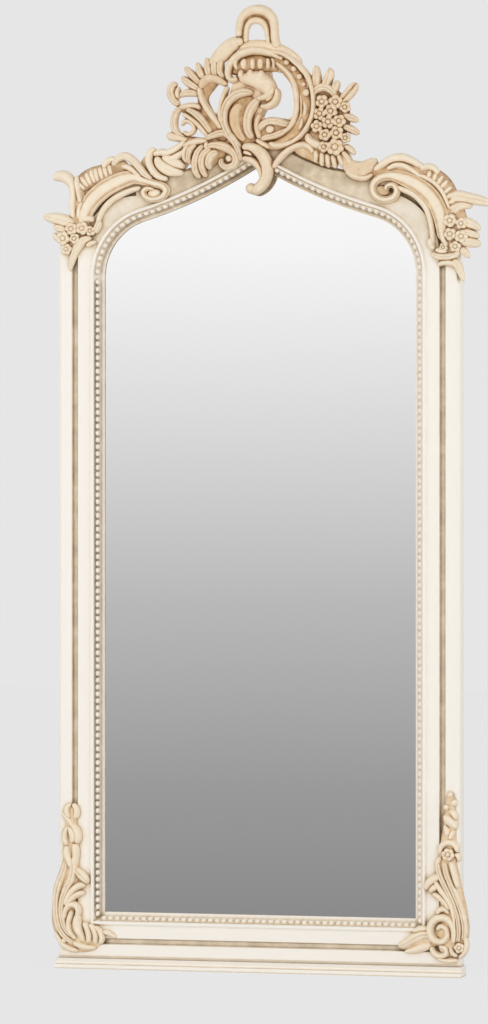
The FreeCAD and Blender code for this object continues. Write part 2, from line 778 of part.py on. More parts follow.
def build_strap(side, sign):
    """Strap folded over the ring's straight bar, with two screw holes below the ring's reach."""
    body = new_body(f"hanger_strap_{side}")
    middle = f"{sign} * ({HANGER_LINE})"
    section = sketch_on(body, f"strap_section_{side}", "YZ_Plane", middle)
    low = f"{HANGER_HEIGHT} - Sizes.strap_length"
    outline(section, [("0", low), ("Sizes.strap_sheet", low),
                      ("Sizes.strap_sheet", HANGER_HEIGHT), ("0", HANGER_HEIGHT)])
    pad(body, f"strap_sheet_{side}", section, "Sizes.strap_width", middle=True)
    knuckle = sketch_on(body, f"knuckle_section_{side}", "YZ_Plane", middle)
    circle(knuckle, KNUCKLE_DEPTH, HANGER_HEIGHT, KNUCKLE_RADIUS)
    circle(knuckle, KNUCKLE_DEPTH, HANGER_HEIGHT, KNUCKLE_BORE)
    pad(body, f"knuckle_{side}", knuckle, "Sizes.strap_width", middle=True)
    holes = sketch_on(body, f"strap_holes_{side}", "XZ_Plane")
    for up in (STRAP_FIRST, STRAP_LAST):
        small_hole(holes, middle, up)
    pocket(body, f"strap_holes_cut_{side}", holes)


def build_ring(side, sign):
    """Closed D of wire. Its straight bar turns in the strap's knuckle and its bow hangs below."""
    centre = Vector(sign * size(HANGER_LINE), ring_axis_depth, hanger_height)
    bow_radius = size("Sizes.ring_inner_width / 2") + wire_radius
    end = Vector(bow_radius + wire_radius, 0, 0)
    round_bar = [[centre + end * way + Vector(0, turn, rise) * wire_radius
                  for turn, rise in small_turns()] for way in (-1, 1)]
    rings = []
    for step in range(bow_steps + 1):
        angle = math.pi * step / bow_steps
        outward = Vector(math.cos(angle), 0, -math.sin(angle))
        rings.append([centre + outward * (bow_radius + turn * wire_radius)
                      + BACKWARD * (rise * wire_radius) for turn, rise in small_turns()])
    shaped(f"hanger_ring_{side}", faceted(round_bar).fuse(faceted(rings)))


hanger_points = []
for side, sign in SIDES:
    build_strap(side, sign)
    build_ring(side, sign)
    hanger_points += [place_of(f"{sign} * ({HANGER_LINE})", up) for up in (STRAP_FIRST, STRAP_LAST)]
shaped("hanger_screws", screws(hanger_points, size("Sizes.strap_sheet")))


# Strings of beads
# A thin strip lies on the flank of the moulding and carries one bead every pitch.
FLANK_TOP = "Sizes.ridge_start + Sizes.ridge_slope + Sizes.ridge_width"
flank_top_inwards = size(FLANK_TOP)
flank_top_depth = size("Sizes.ridge_depth")
flank_run = size("Sizes.flank_width")
flank_drop = flank_top_depth - size("Sizes.flank_depth")
flank_length = math.hypot(flank_run, flank_drop)
down_inwards = flank_run / flank_length
down_depth = -flank_drop / flank_length
bead_middle_inwards = flank_top_inwards + flank_run / 2
bead_middle_depth = flank_top_depth - flank_drop / 2
bead_pitch = size("Sizes.bead_pitch")
bead_radius = size("Sizes.bead_radius")
bead_rise = size("Sizes.bead_rise")
bead_end_share = 0.65


def strip_section():
    """Corners of the strip's section: inwards from the outer edge, and forwards."""
    half = size("Sizes.bead_strip_width / 2")
    thick = size("Sizes.bead_strip_thickness")
    corners = []
    for reach, lift in ((-half, 0), (half, 0), (half, thick), (-half, thick)):
        corners.append((bead_middle_inwards + down_inwards * reach - down_depth * lift,
                        bead_middle_depth + down_depth * reach + down_inwards * lift))
    return corners


def bead(foot, outward, along):
    """Button standing on the strip at its foot point. Small and repeated, it has few sides."""
    slope = outward * -down_inwards + FORWARD * down_depth
    tip = foot + (outward * down_depth + FORWARD * down_inwards) * bead_rise
    ring = [foot + (along * turn + slope * rise) * bead_radius for turn, rise in small_turns()]
    ring += ring[:1]
    faces = [Part.Face(Part.makePolygon(ring))]
    for corner, beside in zip(ring, ring[1:]):
        faces.append(Part.Face(Part.makePolygon([corner, beside, tip, corner])))
    return closed_solid(faces)


def string_of_beads(strip, places):
    return Part.makeCompound([strip] + [bead(*place) for place in places])


def evenly(length):
    """Distances of bead middles along a length, whole pitches apart and centred on it."""
    count = int((length - bead_pitch * bead_end_share * 2) / bead_pitch) + 1
    first = (length - (count - 1) * bead_pitch) / 2
    return [first + index * bead_pitch for index in range(count)]


def bead_foot(on_outer_edge, outward):
    """Point on the strip's front face, across from a point of the outer edge."""
    lift = size("Sizes.bead_strip_thickness")
    inwards = bead_middle_inwards - down_depth * lift
    depth = bead_middle_depth + down_inwards * lift
    return on_outer_edge - outward * inwards - Vector(0, depth, 0)


def build_side_beads():
    corner_height = base_height + bead_middle_inwards
    low = [Vector(half_width - inwards, -depth, base_height + inwards)
           for inwards, depth in strip_section()]
    high = [Vector(point.x, point.y, spring_height) for point in low]
    outward = Vector(1, 0, 0)
    places = []
    for distance in evenly(spring_height - corner_height):
        edge_point = Vector(half_width, 0, corner_height + distance)
        places.append((bead_foot(edge_point, outward), outward, Vector(0, 0, 1)))
    string = string_of_beads(faceted([low, high]), places)
    shaped("beads_right", string)
    shaped("beads_left", moved_mirror(string))


def build_bottom_beads():
    ends_of_run = [[Vector(sign * (half_width - inwards), -depth, base_height + inwards)
                    for inwards, depth in strip_section()] for side, sign in SIDES]
    run = half_width - bead_middle_inwards
    outward = Vector(0, 0, -1)
    places = []
    for distance in evenly(run * 2):
        edge_point = Vector(distance - run, 0, base_height)
        places.append((bead_foot(edge_point, outward), outward, Vector(1, 0, 0)))
    shaped("beads_bottom", string_of_beads(faceted(ends_of_run), places))


def build_arch_beads():
    corners = [Vector(half_width - inwards, -depth, spring_height)
               for inwards, depth in strip_section()]
    outward_of_beads = rail_width - bead_middle_inwards
    shoulder_run = (shoulder_radius + outward_of_beads) * shoulder_turn
    reverse_run = (arch_length - shoulder_length) * (1 - outward_of_beads / reverse_radius)
    places = []
    for run in evenly(shoulder_run + reverse_run):
        if run < shoulder_run:
            distance = run / shoulder_run * shoulder_length
        else:
            share = (run - shoulder_run) / reverse_run
            distance = shoulder_length + share * (arch_length - shoulder_length)
        point, outward = along_arch(distance, rail_width)
        along = Vector(-outward.z, 0, outward.x)
        places.append((bead_foot(point, outward), outward, along))
    string = string_of_beads(beside_arch(corners), places)
    shaped("beads_arch_right", string)
    shaped("beads_arch_left", moved_mirror(string))


build_side_beads()
build_bottom_beads()
build_arch_beads()


# Carved ornament
# The carvings are laid out on the photograph. A row holds a point's place across and down, the half
# width of the limb there and how far it rises from its seat, all in the photograph's pixels.
photo_pixel = size("Sizes.photo_pixel")
view_stretch_share = 1.031
broad_section_shares = ((-1, 0), (-0.5, 1), (0.5, 1), (1, 0))
slim_section_shares = ((-1, 0), (0, 1), (1, 0))
slim_half_px = 4
crumb_share = 0.03
petal_count = 5
petal_notch_share = 0.62
petal_top_share = 0.45
volute_turns = 0.85
volute_steps = 7
volute_end_share = 0.3

CREST_AXIS_PX = (255.5, 166)
SHOULDER_PX = {"left": (54.5, 275.3), "right": (455, 275.3)}
CORNER_PX = {"left": (52.5, 962), "right": (455.5, 962)}


def layout(anchor_px, anchor):
    """Turns pixels of the photograph into millimetres, from one point known in both."""
    def place(across, down):
        return Vector(anchor.x + (across - anchor_px[0]) * photo_pixel * view_stretch_share, 0,
                      anchor.z + (anchor_px[1] - down) * photo_pixel)
    return place


def limb(rows, seat):
    """Scroll, stem or leaf: a section carried from row to row and tapered. Slim ones are ridged."""
    places = [place for place, half, rise in rows]
    slim = max(half for place, half, rise in rows) <= slim_half_px * photo_pixel
    section_shares = slim_section_shares if slim else broad_section_shares
    rings = []
    for index, (middle, half, rise) in enumerate(rows):
        run = places[min(index + 1, len(rows) - 1)] - places[max(index - 1, 0)]
        across = Vector(-run.z, 0, run.x).normalize()
        rings.append([middle + across * (half * side) + FORWARD * (seat + rise * lift)
                      for side, lift in section_shares])
    return faceted(rings)


def rosette(centre, radius, rise, seat):
    """Five-petalled flower with a raised middle."""
    rings = []
    for share, lift in ((1, 0), (petal_top_share, rise)):
        ring = []
        for index in range(petal_count * 2):
            angle = math.pi * index / petal_count
            reach = radius * share * (1 if index % 2 == 0 else petal_notch_share)
            ring.append(centre + Vector(math.cos(angle) * reach, -seat - lift,
                                        math.sin(angle) * reach))
        rings.append(ring)
    return faceted(rings)


def volute(centre, radius, half, rise, start, turn):
    """Rows of a spiral that winds in from its rim to its eye. Turn is 1 or -1."""
    rows = []
    for step in range(volute_steps + 1):
        share = step / volute_steps
        angle = start + turn * share * volute_turns * 2 * math.pi
        reach = radius * (1 - share * (1 - volute_end_share))
        place = centre + Vector(math.cos(angle), 0, math.sin(angle)) * reach
        rows.append((place, half * (1 - share * (1 - volute_end_share)), rise))
    return rows


def joined(solids):
    """One solid from limbs that grow into one another."""
    return solids[0].fuse(solids[1:]).removeSplitter() if len(solids) > 1 else solids[0]


def carved(place, limbs_px, flowers_px=(), seat=None):
    """Solid of all the limbs and flowers of one carving."""
    level = size("Sizes.carving_seat") if seat is None else seat
    solids = []
    for rows_px in limbs_px:
        rows = [(place(across, down), half * photo_pixel, rise * photo_pixel)
                for across, down, half, rise in rows_px]
        solids.append(limb(rows, level))
    for across, down, radius in flowers_px:
        reach = radius * photo_pixel
        solids.append(rosette(place(across, down), reach, reach, level))
    return joined(solids)


# Crest
CREST_RING_PX = [
    [(234, 81, 2.5, 4), (229, 71, 3, 6), (238, 60, 3.5, 7), (255, 56, 4, 7), (272, 60, 5, 7),
     (289, 72, 7, 8), (302, 88, 8, 8), (304, 107, 8, 8), (299, 126, 7, 8), (289, 140, 5, 7),
     (274, 147, 4, 6), (260, 146, 4, 5)],
]
CREST_SHELL_PX = [
    [(252, 83, 6, 4), (238, 67, 3, 3)],
    [(252, 83, 6, 4), (247, 64, 3, 3)],
    [(252, 83, 6, 4), (256, 64, 3, 3)],
    [(252, 83, 6, 4), (266, 67, 3, 3)],
    [(240, 84, 3, 4), (250, 78, 5, 5), (262, 80, 7, 6), (272, 88, 7, 6), (275, 100, 5, 5),
     (268, 109, 3, 4)],
]
CREST_PLUME_PX = [
    [(247, 148, 5, 6), (234, 134, 6, 8), (228, 118, 6, 9), (230, 102, 6, 9), (240, 92, 5, 8),
     (254, 93, 3, 6)],
    [(251, 146, 4, 5), (242, 128, 5, 7), (241, 112, 5, 7), (248, 102, 4, 6)],
    [(258, 144, 4, 5), (253, 126, 4, 6), (254, 110, 4, 6), (265, 101, 2.5, 5)],
    [(262, 144, 4, 4), (274, 137, 6, 5), (284, 126, 5, 5), (288, 117, 2, 3)],
    [(259, 138, 3, 4), (264, 128, 4, 5), (273, 123, 4, 5), (280, 120, 2, 4)],
]
CREST_PENDANT_PX = [
    [(251, 148, 4, 5), (262, 153, 5, 7), (270, 166, 5, 8), (269, 181, 5, 8), (259, 190, 4, 7),
     (248, 188, 3.5, 6), (245, 183, 3, 5)],
    [(247, 151, 3, 5), (254, 159, 3, 5), (258, 169, 1.5, 4)],
]
CREST_SCROLL_LEFT_PX = [
    [(206, 140, 3, 5), (219, 137, 5, 7), (233, 142, 5, 8), (241, 153, 5, 8), (237, 165, 4, 7),
     (228, 167, 4, 7), (223, 160, 3, 6), (227, 153, 3, 6)],
    [(216, 146, 4, 5), (207, 156, 5, 6), (204, 167, 5, 6), (204, 176, 2, 4)],
    [(207, 150, 4, 5), (196, 156, 4, 5), (188, 158, 2, 3)],
]
CREST_SCROLL_RIGHT_PX = [
    [(272, 165, 3, 4), (283, 156, 4, 5), (297, 151, 4, 5), (308, 154, 4, 5), (315, 163, 3, 4)],
    [(312, 158, 4, 5), (328, 168, 5, 6), (345, 175, 7, 6), (360, 180, 7, 6), (373, 176, 5, 5),
     (381, 170, 3, 4)],
]
CREST_SPRAY_PX = [
    [(226, 148, 5, 5), (216, 134, 5, 6), (207, 116, 5, 6), (200, 98, 4, 6), (196, 86, 3, 5)],
    [(203, 104, 4, 5), (203, 88, 5, 6), (207, 74, 4, 5), (211, 60, 2, 3)],
    [(200, 94, 4, 5), (194, 83, 4, 5), (184, 70, 3, 4)],
    [(200, 106, 4, 5), (188, 98, 4, 5), (177, 93, 5, 6), (171, 84, 4, 5)],
    [(174, 90, 4, 5), (174, 102, 4, 5), (179, 112, 3, 4)],
    [(207, 126, 4, 5), (196, 114, 5, 6), (184, 108, 4, 5), (177, 112, 3, 4)],
    [(206, 137, 3, 4), (192, 135, 3, 4), (181, 129, 3, 4), (180, 120, 3, 4)],
    [(212, 142, 4, 5), (195, 144, 4, 5), (180, 140, 4, 5), (167, 134, 3, 4)],
    [(206, 82, 4, 4), (217, 76, 4, 4), (228, 70, 3, 4)],
]
CREST_FLOWERS_PX = [
    [(310, 142, 6, 5), (322, 128, 7, 6), (324, 110, 7, 6), (318, 96, 5, 5), (308, 84, 3, 4)],
    [(318, 100, 4, 4), (322, 86, 4, 5), (329, 73, 2, 3)],
    [(312, 92, 4, 4), (313, 78, 4, 5), (317, 66, 2, 3)],
    [(328, 104, 5, 5), (340, 96, 5, 6), (349, 89, 4, 5), (357, 83, 2.5, 4)],
    [(328, 120, 6, 5), (342, 122, 4, 5), (355, 121, 1.5, 3)],
    [(328, 130, 6, 5), (342, 134, 4, 5), (354, 133, 1.5, 3)],
    [(322, 138, 6, 5), (321, 152, 4, 5), (320, 166, 2, 3)],
    [(330, 140, 6, 5), (331, 154, 4, 5), (331, 169, 2, 3)],
    [(336, 138, 6, 5), (341, 152, 4, 5), (343, 167, 2, 3)],
]
CREST_ROSETTES_PX = [(322, 104, 6), (331, 119, 7), (344, 107, 6), (318, 126, 6), (338, 132, 7),
                     (331, 148, 8)]
CREST_FINIAL_PX = [
    [(236, 50, 4, 17), (238, 38, 4, 17), (240, 23, 4, 17), (248, 13, 4, 17), (258, 9.5, 4.5, 17),
     (268, 14, 4.5, 17), (272, 28, 4, 17), (275, 48, 4, 17)],
    [(232, 50, 4, 16), (248, 50, 5, 16), (264, 50, 5, 16), (280, 54, 4, 16)],
    [(238, 48, 3, 16), (229, 54, 4, 16), (223, 64, 4, 14), (221, 72, 2, 12)],
]
BOARD_RING_PX = (264, 102, 36, 44)
BOARD_FOOT_PX = [(194, 162), (203, 140), (213, 118), (226, 106), (302, 106), (316, 112), (328, 120),
                 (338, 140), (350, 168), (255, 138)]
BOARD_OPENING_PX = [(266, 70), (280, 73), (289, 85), (294, 100), (293, 116), (284, 122), (268, 121),
                    (258, 116), (262, 108), (269, 100), (268, 84)]


def crest_board(place, rails):
    """Thick board behind the carvings. It stands on the outer line of the arch."""
    across, down, half_across, half_down = BOARD_RING_PX
    centre = place(across, down)
    half_across *= photo_pixel * view_stretch_share
    half_down *= photo_pixel
    ring = Part.Ellipse(centre + Vector(0, 0, half_down), centre + Vector(half_across, 0, 0), centre)
    disc = extruded([ring.toShape()], 0, member_depth)
    corners = [place(*point) for point in BOARD_FOOT_PX]
    foot = extruded(Part.makePolygon(corners + corners[:1]).Edges, 0, member_depth)
    edge = [place(*point) for point in BOARD_OPENING_PX]
    opening = extruded(Part.makePolygon(edge + edge[:1]).Edges, -overrun, member_depth + overrun)
    board = disc.fuse(foot).removeSplitter().cut([opening] + rails)
    solid = max(board.Solids, key=lambda piece: piece.Volume)
    uppers = [point for point in cleat_points if point.z > size(CLEAT_MIDDLE)]
    return drilled(solid, uppers)


def build_crest():
    place = layout(CREST_AXIS_PX, Vector(0, 0, size(f"{OUTER_APEX} - Sizes.crest_foot")))
    rails = [rail, moved_mirror(rail)]
    board = crest_board(place, rails)
    shaped("crest_board", board)
    carvings = [
        ("crest_ring", carved(place, CREST_RING_PX)),
        ("crest_plume", carved(place, CREST_PLUME_PX)),
        ("crest_shell", carved(place, CREST_SHELL_PX)),
        ("crest_scroll_left", carved(place, CREST_SCROLL_LEFT_PX)),
        ("crest_scroll_right", carved(place, CREST_SCROLL_RIGHT_PX)),
        ("crest_spray", carved(place, CREST_SPRAY_PX)),
        ("crest_flowers", carved(place, CREST_FLOWERS_PX, CREST_ROSETTES_PX)),
        ("crest_pendant", carved(place, CREST_PENDANT_PX, seat=size("Sizes.pendant_seat"))),
        ("crest_finial", carved(place, CREST_FINIAL_PX, seat=size("Sizes.finial_seat"))),
    ]
    beads = [shape_of("beads_arch_right"), shape_of("beads_arch_left")]
    fit_together(carvings, [board] + rails + beads)


def shape_of(label):
    return next(thing.Shape for thing in parts if thing.Label == label)


def fit_together(carvings, carriers):
    """Cuts each carving back to the faces of those laid before it, so that they meet."""
    laid = list(carriers)
    for label, shape in carvings:
        beside = [other for other in laid if other.BoundBox.intersect(shape.BoundBox)]
        fitted = without_crumbs(shape.cut(beside)) if beside else shape
        shaped(label, fitted)
        laid.append(fitted)


def without_crumbs(shape):
    """The shape less the small bits that a cut leaves loose."""
    kept = [piece for piece in shape.Solids if piece.Volume > shape.Volume * crumb_share]
    return kept[0] if len(kept) == 1 else Part.makeCompound(kept)


build_crest()


# Shoulders
# The plain band follows the outer line over the shoulder and curls into a volute beside it. Outside
# it stands a fluted ridge, whose width rises and falls once for each flute.
band_start_share = 0.06
band_turn_share = 0.93
band_steps = 8
flute_count = 8
flute_notch_share = 0.72
flute_start = {"left": 22, "right": 28}
flute_end = {"left": 104, "right": 100}

LEFT_SHOULDER_PX = [
    [(78, 206, 5, 6), (76, 192, 5, 7), (67, 181, 4.5, 7), (50, 178, 3, 5)],
    [(70, 236, 6, 5), (60, 228, 6, 6), (50, 220, 4.5, 5), (39, 216, 2, 3)],
    [(68, 242, 4, 5), (56, 237, 4, 5), (45, 231, 2, 3)],
    [(76, 226, 8, 6), (78, 240, 8, 7), (74, 256, 6, 6), (69, 272, 2, 3)],
    [(82, 236, 4, 5), (91, 230, 4, 6), (99, 220, 3, 4)],
    [(66, 226, 5, 5), (62, 238, 5, 6), (63, 254, 4, 5)],
]
LEFT_SHOULDER_ROSETTES_PX = [(61, 234, 7), (62, 248, 6), (82, 220, 7)]
RIGHT_SHOULDER_PX = [
    [(437, 200, 5, 6), (450, 197, 5, 7), (463, 199, 4.5, 6), (474, 203, 3.5, 5), (486, 208, 2.5, 4)],
    [(446, 208, 4, 5), (458, 218, 5, 6), (469, 228, 5, 5), (478, 238, 2, 3)],
    [(444, 230, 6, 6), (456, 238, 6, 6), (466, 243, 5, 5), (476, 247, 2, 3)],
    [(440, 236, 7, 6), (447, 250, 8, 7), (453, 266, 6, 6), (457, 284, 2, 3)],
    [(436, 252, 4, 5), (430, 246, 4, 6), (427, 236, 2.5, 4)],
    [(432, 261, 3, 4), (440, 263, 3.5, 5), (450, 259, 3, 4)],
]
RIGHT_SHOULDER_ROSETTES_PX = [(447, 222, 7), (444, 238, 6), (458, 250, 6)]
HOOK_PX = {
    "left": [[(126, 160, 4, 5), (137, 169, 4, 5), (149, 177, 5, 6), (162, 181, 5, 5),
              (175, 176, 2.5, 3)],
             [(147, 176, 4, 5), (144, 165, 4, 6), (148, 156, 3, 4)]],
    "right": [[(385, 170, 4, 5), (394, 163, 5, 6), (404, 161, 4, 5), (415, 167, 3, 4)]],
}


def shoulder_rows(radius, first, last, steps, half_at, rise):
    """Rows along an arc about the middle of the outer shoulder line."""
    rows = []
    for step in range(steps + 1):
        share = step / steps
        angle = math.radians(first + (last - first) * share)
        place = outer_centre + Vector(math.cos(angle), 0, math.sin(angle)) * radius
        rows.append((place, half_at(step), rise))
    return rows


def band():
    """Rounded band of the right shoulder with its volute."""
    half = size("Sizes.band_half_width")
    rise = size("Sizes.band_rise")
    middle = outer_radius - size("Sizes.member_width / 2")
    turn = math.degrees(outer_turn)
    seat = size("Sizes.carving_seat")
    run = shoulder_rows(middle, turn * band_start_share, turn * band_turn_share, band_steps,
                        lambda step: half, rise)
    reach = size("Sizes.band_volute_radius")
    angle = outer_turn * band_turn_share
    outward = Vector(math.cos(angle), 0, math.sin(angle))
    centre = run[-1][0] - outward * reach
    curl = volute(centre, reach, half, rise, angle, 1)
    return limb(run + curl[1:], seat)


def fluted_ridge(side):
    half = size("Sizes.flute_half_width")

    def half_at(step):
        return half * (1 if step % 2 else flute_notch_share)
    radius = outer_radius + size("Sizes.carving_gap") + half
    rows = shoulder_rows(radius, flute_start[side], flute_end[side], flute_count * 2, half_at,
                         size("Sizes.flute_rise"))
    return limb(rows, size("Sizes.ridge_seat"))


def build_shoulders():
    sprays = {"left": (LEFT_SHOULDER_PX, LEFT_SHOULDER_ROSETTES_PX),
              "right": (RIGHT_SHOULDER_PX, RIGHT_SHOULDER_ROSETTES_PX)}
    for side, sign in SIDES:
        place = layout(SHOULDER_PX[side], Vector(sign * half_width, 0, spring_height))
        rounded, ridge = band(), fluted_ridge(side)
        if sign < 0:
            rounded, ridge = moved_mirror(rounded), moved_mirror(ridge)
        ridge = ridge.fuse(carved(place, HOOK_PX[side]))
        carriers = [shape_of(label) for label in (
            f"crest_scroll_{side}", f"arch_rail_{side}", f"{side}_stile", "crest_board",
            "crest_spray", "crest_flowers")]
        fit_together([
            (f"scroll_band_{side}", rounded),
            (f"shoulder_ridge_{side}", ridge),
            (f"shoulder_spray_{side}", carved(place, *sprays[side])),
        ], carriers)


# Bottom corners
LEFT_CORNER_PX = [
    [(66, 802, 2, 4), (66, 814, 5, 5), (66, 828, 3, 5), (66, 838, 7, 7), (65, 850, 4, 6),
     (62, 866, 6, 6), (57, 886, 7, 7), (54, 906, 7, 7), (56, 926, 7, 7), (63, 940, 5, 6)],
    [(62, 858, 4, 5), (71, 868, 5, 6), (79, 876, 5, 6), (86, 883, 2, 3)],
    [(58, 888, 4, 5), (68, 892, 4, 6), (76, 892, 4, 5), (84, 889, 2, 3)],
    [(60, 936, 5, 5), (57, 946, 5, 5), (54, 954, 2.5, 3)],
    [(68, 940, 5, 5), (68, 949, 5, 5), (66, 957, 2.5, 3)],
    [(76, 940, 5, 5), (80, 948, 5, 5), (83, 956, 2.5, 3)],
    [(80, 934, 6, 5), (91, 942, 5, 5), (101, 947, 2.5, 3)],
    [(80, 928, 5, 5), (93, 934, 6, 5), (104, 937, 5, 4), (114, 937, 2, 3)],
]
RIGHT_CORNER_PX = [
    [(447, 788, 2, 4), (447, 800, 4, 5), (448, 812, 3, 4), (448, 822, 6, 6), (447, 834, 4, 5),
     (446, 848, 7, 7), (447, 862, 5, 6), (452, 882, 7, 7), (459, 902, 7, 7), (461, 922, 6, 7),
     (455, 938, 5, 6)],
    [(446, 858, 4, 5), (438, 868, 5, 6), (430, 876, 4, 5), (422, 882, 2, 3)],
    [(452, 884, 4, 5), (443, 890, 4, 6), (434, 892, 4, 5), (425, 889, 2, 3)],
    [(458, 934, 5, 5), (463, 944, 5, 5), (461, 954, 2.5, 3)],
    [(450, 940, 5, 5), (451, 949, 5, 5), (448, 957, 2.5, 3)],
    [(442, 938, 5, 5), (438, 948, 5, 5), (434, 956, 2.5, 3)],
    [(437, 931, 5, 5), (422, 937, 6, 5), (408, 942, 5, 4), (393, 943, 2, 3)],
]
RIGHT_CORNER_ROSETTES_PX = [(433, 944, 5), (456, 944, 5)]
CORNER_VOLUTES_PX = {"left": (71, 918, 11, 4, 7), "right": (441, 923, 11, 4, 7)}


def corner_volute(place, side, sign):
    across, down, radius, half, rise = CORNER_VOLUTES_PX[side]
    start = math.pi / 2 - sign * math.pi / 2
    rows = volute(place(across, down), radius * photo_pixel, half * photo_pixel,
                  rise * photo_pixel, start, -sign)
    return limb(rows, size("Sizes.carving_seat"))


def build_corners():
    leaves = {"left": (LEFT_CORNER_PX, ()), "right": (RIGHT_CORNER_PX, RIGHT_CORNER_ROSETTES_PX)}
    for side, sign in SIDES:
        place = layout(CORNER_PX[side], Vector(sign * half_width, 0, base_height))
        leaf = carved(place, *leaves[side]).fuse(corner_volute(place, side, sign))
        carriers = [shape_of(f"{side}_stile"), shape_of("bottom_rail"), shape_of("base_moulding")]
        fit_together([(f"corner_leaf_{side}", leaf.removeSplitter())], carriers)


build_shoulders()
build_corners()

# Files
doc.recompute()
for thing in [item for item in doc.Objects if item.State]:
    if {"Invalid", "Error"} & set(thing.State):
        raise RuntimeError(f"{thing.Label} failed: {thing.State}")
for thing in parts:
    if thing.Shape.isNull() or not thing.Shape.isValid():
        raise RuntimeError(f"{thing.Label} has no valid shape")
for thing in parts:
    thing.Shape.exportStep(os.path.join("parts", f"{thing.Label}.step"))
    print(thing.Label, len(thing.Shape.Solids), len(thing.Shape.Faces))
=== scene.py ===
import json
import math
import bmesh
import bpy
import numpy as np
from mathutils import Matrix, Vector


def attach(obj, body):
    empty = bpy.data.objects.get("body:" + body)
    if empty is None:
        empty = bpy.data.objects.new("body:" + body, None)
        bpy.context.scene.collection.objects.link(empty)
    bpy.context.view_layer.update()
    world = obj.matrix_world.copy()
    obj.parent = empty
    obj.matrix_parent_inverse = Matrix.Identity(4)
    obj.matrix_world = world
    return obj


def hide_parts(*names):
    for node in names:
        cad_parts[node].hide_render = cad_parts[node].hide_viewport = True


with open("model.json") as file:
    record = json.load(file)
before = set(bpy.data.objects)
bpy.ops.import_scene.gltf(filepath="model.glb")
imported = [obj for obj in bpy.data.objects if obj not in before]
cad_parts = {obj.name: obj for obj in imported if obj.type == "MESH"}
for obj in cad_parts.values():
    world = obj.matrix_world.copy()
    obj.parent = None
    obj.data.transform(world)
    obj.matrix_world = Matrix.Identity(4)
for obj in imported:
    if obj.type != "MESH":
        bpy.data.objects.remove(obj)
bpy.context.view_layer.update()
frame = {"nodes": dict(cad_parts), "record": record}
print("frame loaded,", len(frame["nodes"]), "nodes")

# shader nodes


def linear(grey):
    # sRGB 0-255 to linear light: the usual power curve with its straight foot
    share = np.asarray(grey, float) / 255
    return np.where(share <= 0.04045, share / 12.92, ((share + 0.055) / 1.055) ** 2.4)


def colour(red, green, blue):
    return (*linear((red, green, blue)).tolist(), 1.0)


def link(tree, source, target):
    tree.links.new(source, target)


def addNode(tree, kind, values=()):
    # a new node, with the values of those of its sockets that stay unlinked
    node = tree.nodes.new(kind)
    for key, value in dict(values).items():
        node.inputs[key].default_value = value
    return node


def axes(tree, space):
    # X, Y and Z of the point that is shaded
    place = addNode(tree, "ShaderNodeTexCoord")
    split = addNode(tree, "ShaderNodeSeparateXYZ")
    link(tree, place.outputs[space], split.inputs[0])
    return split.outputs


def ranged(tree, value, low, high, toLow, toHigh):
    span = addNode(tree, "ShaderNodeMapRange", {"From Min": low, "From Max": high, "To Min": toLow,
                                                "To Max": toHigh})
    link(tree, value, span.inputs["Value"])
    return span.outputs["Result"]


def arithmetic(tree, operation, first, second):
    node = addNode(tree, "ShaderNodeMath")
    node.operation = operation
    for index, value in enumerate((first, second)):
        if isinstance(value, float):
            node.inputs[index].default_value = value
        else:
            link(tree, value, node.inputs[index])
    return node.outputs[0]


def mixShaders(tree, share, first, second):
    mix = addNode(tree, "ShaderNodeMixShader")
    for index, source in enumerate((share, first, second)):
        link(tree, source, mix.inputs[index])
    return mix.outputs[0]


# view and light
# metres and degrees; the picture spans "height" at the aim, and "sensor" is in millimetres
view = {"aim": (-0.0263, -0.040, 0.904), "distance": 9.0, "azimuth": 14.0, "height": 2.012,
        "sensor": 36.0}
# Colours are sRGB from 0 to 255. The glass picks up "mirrored", which gives a grey for the slope
# of a ray, and "silver" makes up for what the glass takes away.
studio = {"backdrop": (230, 230, 231), "floorGlow": (233, 233, 234), "floorShare": 0.10,
          "floorHalf": 14.0, "ambient": 0.62, "silver": 1.09, "reach": 0.12,
          "mirrored": ((-0.100, 131), (-0.060, 153), (-0.020, 183), (0.019, 216), (0.058, 243),
                       (0.085, 251))}
lamps = {"keyLamp": {"at": (-2.2, -4.6, 1.1), "aim": (0.0, 0.0, 0.6), "size": 2.6, "watts": 75},
         "fillLamp": {"at": (3.0, -4.0, 0.6), "aim": (0.0, 0.0, 0.6), "size": 2.8, "watts": 36},
         "sideLamp": {"at": (4.2, -0.6, 1.0), "aim": (0.4, 0.0, 0.9), "size": 2.0, "watts": 26}}


def turnedTo(aim, place):
    return (Vector(aim) - place).to_track_quat("-Z", "Y").to_euler()


def addCamera():
    angle = math.radians(view["azimuth"])
    data = bpy.data.cameras.new("studioCamera")
    data.sensor_width = view["sensor"]
    data.lens = view["sensor"] * view["distance"] / view["height"]
    camera = bpy.data.objects.new("studioCamera", data)
    away = Vector((math.sin(angle), -math.cos(angle), 0)) * view["distance"]
    camera.location = Vector(view["aim"]) + away
    camera.rotation_euler = turnedTo(view["aim"], camera.location)
    bpy.context.collection.objects.link(camera)
    bpy.context.scene.camera = camera


def addLamps():
    for name, lamp in lamps.items():
        data = bpy.data.lights.new(name, "AREA")
        data.size = lamp["size"]
        data.energy = lamp["watts"]
        light = bpy.data.objects.new(name, data)
        light.location = lamp["at"]
        light.rotation_euler = turnedTo(lamp["aim"], light.location)
        light.visible_glossy = False
        bpy.context.collection.objects.link(light)


